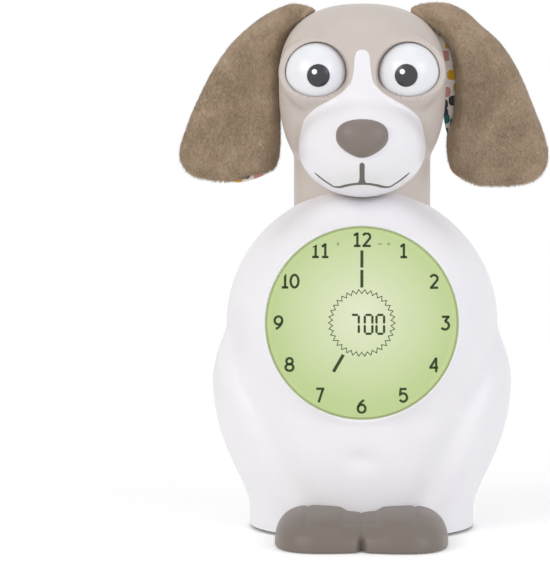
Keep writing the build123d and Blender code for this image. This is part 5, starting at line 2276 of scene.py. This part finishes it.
LEFT_LINING = (
    (23.5, 231.6), (30.0, 232.6), (38.2, 230.2), (48.2, 223.2), (58.6, 212.8), (68.6, 196.6), (76.8, 177.8),
    (79.6, 168.2), (78.2, 163.8), (75.0, 160.8), (66.4, 157.6), (60.5, 155.3), (55.5, 154.9), (50.5, 156.0),
    (46.0, 157.6), (42.8, 159.4), (40.8, 164.0), (39.8, 171.5), (38.6, 178.0), (37.4, 183.0), (36.6, 190.0),
    (36.2, 197.0), (35.8, 206.5), (34.4, 215.0), (31.0, 223.0), (26.4, 228.6),
)
RIGHT_LINING = (
    (23.5, 232.4), (30.0, 234.6), (38.0, 233.6), (46.0, 229.6), (53.0, 223.4), (61.0, 215.0), (69.2, 202.6),
    (75.6, 187.3), (80.2, 174.6), (81.6, 167.6), (80.6, 162.6), (77.2, 158.8), (69.6, 156.6), (60.0, 155.8),
    (49.9, 156.0), (43.2, 157.8), (39.9, 161.4), (39.4, 168.0), (38.9, 175.0), (37.4, 181.5), (36.4, 188.5),
    (36.0, 197.0), (35.8, 206.5), (34.4, 215.0), (31.0, 223.0), (26.4, 228.6),
)


def backdrop_rays(tree: bpy.types.NodeTree) -> Socket:
    """Marks the rays that show the backdrop: from the camera, in a gloss or through glass.

    Args:
        tree: The node tree to add to.

    Returns:
        A socket that is one for these rays and nought for the others.
    """
    path = tree.nodes.new("ShaderNodeLightPath")
    seen = path.outputs["Is Camera Ray"]
    for name in ("Is Glossy Ray", "Is Transmission Ray"):
        either = tree.nodes.new("ShaderNodeMath")
        either.operation = "MAXIMUM"
        tree.links.new(seen, either.inputs[0])
        tree.links.new(path.outputs[name], either.inputs[1])
        seen = either.outputs[0]
    return seen


class Studio:
    """The floor, the light and the camera at the photograph's viewing angle."""

    eye: tuple[float, float, float] = (0.0, -1.150, 0.172)
    focal_px: float = 2555.6
    centre_px: tuple[float, float] = (362.0, 144.8)
    sensor: float = 36.0
    room_tint: Colour = (1.0, 0.998, 1.0, 1.0)
    room_strength: float = 0.6
    floor_lift: float = 0.2
    floor_fade: tuple[float, float] = (0.1, 0.32)

    def camera(self) -> None:
        """Sets a camera that looks at the photograph's middle."""
        data = bpy.data.cameras.new("photo_view")
        data.sensor_fit = "VERTICAL"
        data.sensor_height = self.sensor
        data.sensor_width = self.sensor
        data.lens = self.focal_px * self.sensor / PHOTO_SIZE[1]
        data.clip_start = 0.05
        data.clip_end = 20.0
        view = linked("photo_view", data)
        across = (PHOTO_SIZE[0] / 2 - self.centre_px[0]) / self.focal_px
        down = (PHOTO_SIZE[1] / 2 - self.centre_px[1]) / self.focal_px
        view.location = self.eye
        view.rotation_euler = Vector((across, 1.0, -down)).to_track_quat("-Z", "Y").to_euler()
        bpy.context.scene.camera = view

    def lamp(self, name: str, place: tuple, target: tuple, size: float, power: float, warmth: str) -> None:
        """A square soft light that faces a point.

        Args:
            name: The lamp's name.
            place: Where it stands, in metres.
            target: The point that it faces.
            size: The length of its side.
            power: Its power in watts.
            warmth: Its colour as a hex code.
        """
        data = bpy.data.lights.new(name, "AREA")
        data.shape = "SQUARE"
        data.size = size
        data.energy = power
        data.color = linear(warmth)[:3]
        lamp = linked(name, data)
        lamp.location = place
        lamp.rotation_euler = (Vector(target) - Vector(place)).to_track_quat("-Z", "Y").to_euler()

    def light(self) -> None:
        """A bright even room with a soft key from the upper left."""
        world = bpy.data.worlds.new("studio")
        bpy.context.scene.world = world
        world.use_nodes = True
        tree = world.node_tree
        room = tree.nodes["Background"]
        room.inputs["Color"].default_value = self.room_tint
        room.inputs["Strength"].default_value = self.room_strength
        backdrop = tree.nodes.new("ShaderNodeBackground")
        backdrop.inputs["Color"].default_value = WHITE
        backdrop.inputs["Strength"].default_value = 1.0
        mix = tree.nodes.new("ShaderNodeMixShader")
        tree.links.new(backdrop_rays(tree), mix.inputs[0])
        tree.links.new(room.outputs[0], mix.inputs[1])
        tree.links.new(backdrop.outputs[0], mix.inputs[2])
        tree.links.new(mix.outputs[0], tree.nodes["World Output"].inputs["Surface"])
        self.lamp("key", (-0.95, -1.0, 0.75), (0, 0, 0.12), 0.9, 6.8, "FFFDF9")
        self.lamp("fill", (1.1, -0.9, 0.6), (0, 0, 0.12), 0.9, 5.2, "F6F8FF")
        self.lamp("top", (0.0, -0.1, 1.3), (0, 0, 0.1), 0.8, 1.2, "FFFFFF")
        bpy.context.scene.view_settings.view_transform = "Standard"

    def floor(self) -> None:
        """A plain pale floor that fades into the white backdrop."""
        points = np.array([(-3000, -2000, 0), (3000, -2000, 0), (3000, 4000, 0), (-3000, 4000, 0)])
        floor = mesh_object("floor", points, [(0, 1, 2, 3)], smooth=False)
        sheet = NodeSheet("floor_white")
        stops = [(0.3, linear("FAFAFA")), (0.7, linear("FFFFFF"))]
        sheet.feed("Base Color", sheet.ramp(sheet.noise(400.0, 2.0), stops))
        sheet.finish(Roughness=0.6, Emission_Color=WHITE)
        seen = backdrop_rays(sheet.tree)
        lift = sheet.add("ShaderNodeMath", operation="MULTIPLY")
        lift.inputs[1].default_value = self.floor_lift
        sheet.link(seen, lift.inputs[0])
        sheet.feed("Emission Strength", lift.outputs[0])
        away = sheet.add("ShaderNodeVectorMath", operation="LENGTH")
        sheet.link(sheet.place(), away.inputs[0])
        near, far = self.floor_fade
        plain = sheet.add("ShaderNodeMapRange", interpolation_type="SMOOTHSTEP", From_Min=near, From_Max=far)
        sheet.link(away.outputs["Value"], plain.inputs["Value"])
        fade = sheet.add("ShaderNodeMath", operation="MULTIPLY")
        sheet.link(seen, fade.inputs[0])
        sheet.link(plain.outputs["Result"], fade.inputs[1])
        mix = sheet.add("ShaderNodeMixShader")
        sheet.link(fade.outputs[0], mix.inputs[0])
        sheet.link(sheet.shader.outputs["BSDF"], mix.inputs[1])
        sheet.link(sheet.add("ShaderNodeEmission").outputs["Emission"], mix.inputs[2])
        sheet.link(mix.outputs[0], sheet.tree.nodes["Material Output"].inputs["Surface"])
        paint(floor, sheet.material)

    def set_up(self) -> None:
        """Makes the whole studio."""
        self.camera()
        self.light()
        self.floor()


FINISHES = (
    MouldedPlastic("shell_white", "F1EFF3", 0.015, (0.30, 0.40)),
    MouldedPlastic("face_white", "EFEDF1", 0.012, (0.28, 0.38)),
    MouldedPlastic("eye_white", "EBECF1", 0.01, (0.2, 0.28), 0.4, 0.004, 0.2),
    MouldedPlastic("head_taupe", "C9BFB7", 0.02, (0.34, 0.46)),
    MouldedPlastic("lid_taupe", "C6BDB3", 0.02, (0.34, 0.46)),
    MouldedPlastic("paw_taupe", "766C64", 0.03, (0.36, 0.5), 0.6, 0.02),
    MouldedPlastic("nose_taupe", "7F746D", 0.03, (0.34, 0.46), 0.6, 0.016),
    MouldedPlastic("mouth_grey", "6E6560", 0.03, (0.5, 0.6)),
    MouldedPlastic("pupil_grey", "302D33", 0.05, (0.22, 0.3), 0.4, 0.004, 0.3),
    MouldedPlastic("glint_white", "FFFFFF", 0.0, (0.2, 0.25)),
    MouldedPlastic("lash_brown", "5B514B", 0.04, (0.5, 0.6)),
    # The base plate's dark grey, which also stands in for the shadow line under the body: partly painted
    # shade
    MouldedPlastic("base_grey", "605B58", 0.04, (0.5, 0.65), 0.5, 0.03),
    MouldedPlastic("pad_rubber", "34322F", 0.06, (0.75, 0.9), 0.4, 0.05),
    MouldedPlastic("key_grey", "BFB8B0", 0.02, (0.4, 0.5)),
    MouldedPlastic("sign_grey", "5F5A57", 0.03, (0.5, 0.6)),
    MouldedPlastic("inner_plastic", "D9D7D2", 0.03, (0.45, 0.55)),
    MouldedPlastic("gear_plastic", "E9E5D8", 0.03, (0.3, 0.4)),
    MouldedPlastic("moulded_black", "1F1F21", 0.08, (0.4, 0.55)),
    MouldedPlastic("board_green", "2E6A44", 0.08, (0.35, 0.5), 0.8, 0.02),
    MouldedPlastic("led_white", "F3F2E6", 0.02, (0.2, 0.3)),
    MouldedPlastic("ribbon_amber", "C58A33", 0.06, (0.3, 0.4)),
    MouldedPlastic("cone_paper", "3A3836", 0.12, (0.8, 0.95), 0.3, 0.06),
    MouldedPlastic("cell_wrap", "4D7E63", 0.05, (0.25, 0.35)),
    PlainMetal("screw_steel", "C4C5C8"),
    PlainMetal("contact_nickel", "D3CFC6", (0.18, 0.32)),
    ClearAcrylic("lens_clear"),
    MouldedPlastic("guide_clear", "E8F0E2", 0.01, (0.1, 0.2)),
    MouldedPlastic("panel_ink", "2A3D0C", 0.06, (0.5, 0.6)),
    MouldedPlastic("panel_faint", "9DB07A", 0.05, (0.5, 0.6)),
    # The darker green of the painted shadow round the lens's edge
    MouldedPlastic("recess_shadow_green", "9AAB72", 0.04, (0.2, 0.3)),
    ShortPlush("ear_plush", "97856E", "AD9780", "BFAC93"),
    ShortPlush("ear_nap", "9D8B74", "B39F87", "C6B39B"),
    PrintedCotton("ear_print"),
)
NODE_FINISHES = {
    "base_grey": ("base_plate",),
    "pad_rubber": ("non_slip_pad",),
    "lens_clear": ("dial_lens",),
    "panel_green": ("lcd_panel", "lens_tape"),
    "guide_clear": ("light_guide",),
    "board_green": ("backlight_board", "main_board"),
    "led_white": ("backlight_leds",),
    "moulded_black": ("board_components", "button_switches", "power_socket"),
    "inner_plastic": (
        "display_frame", "eye_carrier", "neck_plate", "neck_clamp", "battery_tray", "speaker_frame",
    ),
    "ribbon_amber": ("display_ribbon",),
    "cone_paper": ("speaker_cone",),
    "cell_wrap": ("battery_cells",),
    "contact_nickel": ("battery_contacts",),
    "screw_steel": (
        "body_screws", "display_screws", "board_screws", "tray_screws", "base_screws", "paw_screws",
        "neck_screws", "head_screws", "carrier_screws", "door_screw", "eye_motor", "eye_shaft",
        "ear_rods",
    ),
    "gear_plastic": ("drive_gear", "eye_gear"),
    "eye_white": ("eye_white_left", "eye_white_right"),
    "lid_taupe": ("eye_lid_left", "eye_lid_right"),
    "pupil_grey": ("pupils",),
    "key_grey": tuple("button_" + name for name in KEYS),
}


def finishes(dial: DialFrame) -> dict[str, Material]:
    """Makes every material on the clock once.

    Args:
        dial: The display's axes, which the panel's glow is centred on.

    Returns:
        The materials by their names.
    """
    middle = tuple(dial.points(np.array([0.0, 4.0, 39.5])))
    panel = BacklitPanel("panel_green", "EEF4D6", "D3E2AC", "C9DB9D", middle, 42.0)
    return {finish.name: finish.material() for finish in (*FINISHES, panel)}


class Clock:
    """The whole clock: builds each sub-assembly over the frame and says what it rides on."""

    def __init__(self, frame: dict) -> None:
        """Sets out the sub-assemblies.

        Args:
            frame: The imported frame, as it was loaded.
        """
        self.frame = frame
        self.dial = DialFrame()
        self.body_form = BodyForm()
        self.casing = BodyCasing(self.body_form, self.dial)
        self.marks = DialMarks(self.dial)
        self.head = Head(HeadForm(self.body_form))
        self.paws = Paws(PawForm(self.body_form))
        self.ears = (
            Ear(Side.LEFT, LEFT_OUTLINE, LEFT_LINING, LEFT_EAR, "left"),
            Ear(Side.RIGHT, RIGHT_OUTLINE, RIGHT_LINING, RIGHT_EAR, "right"),
        )
        self.eyes = EyeDetails()
        self.finish = finishes(self.dial)

    def keep(self, piece: Piece, body: str, slot: str, finish: str, *nodes: str) -> None:
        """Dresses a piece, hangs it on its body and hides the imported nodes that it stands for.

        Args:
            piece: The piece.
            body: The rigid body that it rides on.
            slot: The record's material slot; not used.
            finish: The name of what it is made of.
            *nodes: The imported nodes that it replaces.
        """
        paint(piece, self.finish[finish])
        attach(piece, body)
        if nodes:
            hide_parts(*nodes)
        LOG.info("%s rides on %s", piece.name, body)

    def dress_nodes(self) -> None:
        """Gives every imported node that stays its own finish."""
        table = {node: finish for finish, nodes in NODE_FINISHES.items() for node in nodes}
        for name, node in self.frame["nodes"].items():
            if name in table:
                paint(node, self.finish[table[name]])
            else:
                LOG.info("node %s is replaced by a piece of its own", name)

    def build_body(self) -> None:
        """The casing, the battery cover, the display and the paws."""
        self.keep(self.casing.front(), BODY, "white_body", "shell_white", "front_shell")
        rear, door = self.casing.rear()
        self.keep(rear, BODY, "white_body", "shell_white", "rear_shell")
        self.keep(door, COVER, "white_body", "shell_white", "battery_door")
        self.keep(self.casing.inlet_well(), BODY, "white_body", "shell_white")
        for sign, name in zip(rear_icons(self.casing), KEYS):
            self.keep(sign, name + "_key", "key_grey", "sign_grey")
        self.keep(self.marks.numbers(), BODY, "lcd_green", "panel_ink")
        self.keep(self.marks.hands(), BODY, "lcd_green", "panel_ink")
        self.keep(self.marks.dots(), BODY, "lcd_green", "panel_faint")
        # The painted shadow ring round the lens's edge
        self.keep(self.marks.edge_ring(), BODY, "lens_clear", "recess_shadow_green")
        self.keep(self.marks.clock_digits(), BODY, "lcd_green", "panel_ink")
        self.keep(self.marks.zigzag(self.finish["panel_ink"]), BODY, "lcd_green", "panel_ink")
        self.keep(self.paws.skin(), BODY, "paw_taupe", "paw_taupe", "paws")

    def build_head(self) -> None:
        """The head's shells, face plate, mouth, nose and eye details."""
        front, rear = self.head.shell()
        self.keep(front, BODY, "taupe_head", "head_taupe", "head_front")
        self.keep(rear, BODY, "taupe_head", "head_taupe", "head_rear")
        self.keep(self.head.mask(), BODY, "white_mask", "face_white", "muzzle_mask")
        self.keep(self.head.mouth(), BODY, "nose_taupe", "mouth_grey")
        self.keep(self.head.nose(), BODY, "nose_taupe", "nose_taupe", "nose")
        self.keep(self.eyes.glints(), EYES, "eye_white", "glint_white")
        self.keep(self.eyes.lashes(), EYES, "pupil_grey", "lash_brown")

    def build_ears(self) -> None:
        """Both ears: pad, nap and lining."""
        for ear in self.ears:
            pad = ear.plush()
            nap = ear.nap(pad, self.finish["ear_nap"])
            self.keep(pad, ear.body, "ear_plush", "ear_plush", f"ear_plush_{ear.node_side}")
            self.keep(nap, ear.body, "ear_plush", "ear_nap")
            lining = ear.lining()
            self.keep(lining, ear.body, "ear_print", "ear_print", f"ear_lining_{ear.node_side}")

    def build(self) -> None:
        """Builds everything."""
        self.dress_nodes()
        self.build_body()
        self.build_head()
        self.build_ears()


def main() -> None:
    """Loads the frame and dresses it."""
    logging.basicConfig(level=logging.INFO, format="%(name)s: %(message)s")
    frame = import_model()
    Studio().set_up()
    Clock(frame).build()


if __name__ == "__main__":
    main()
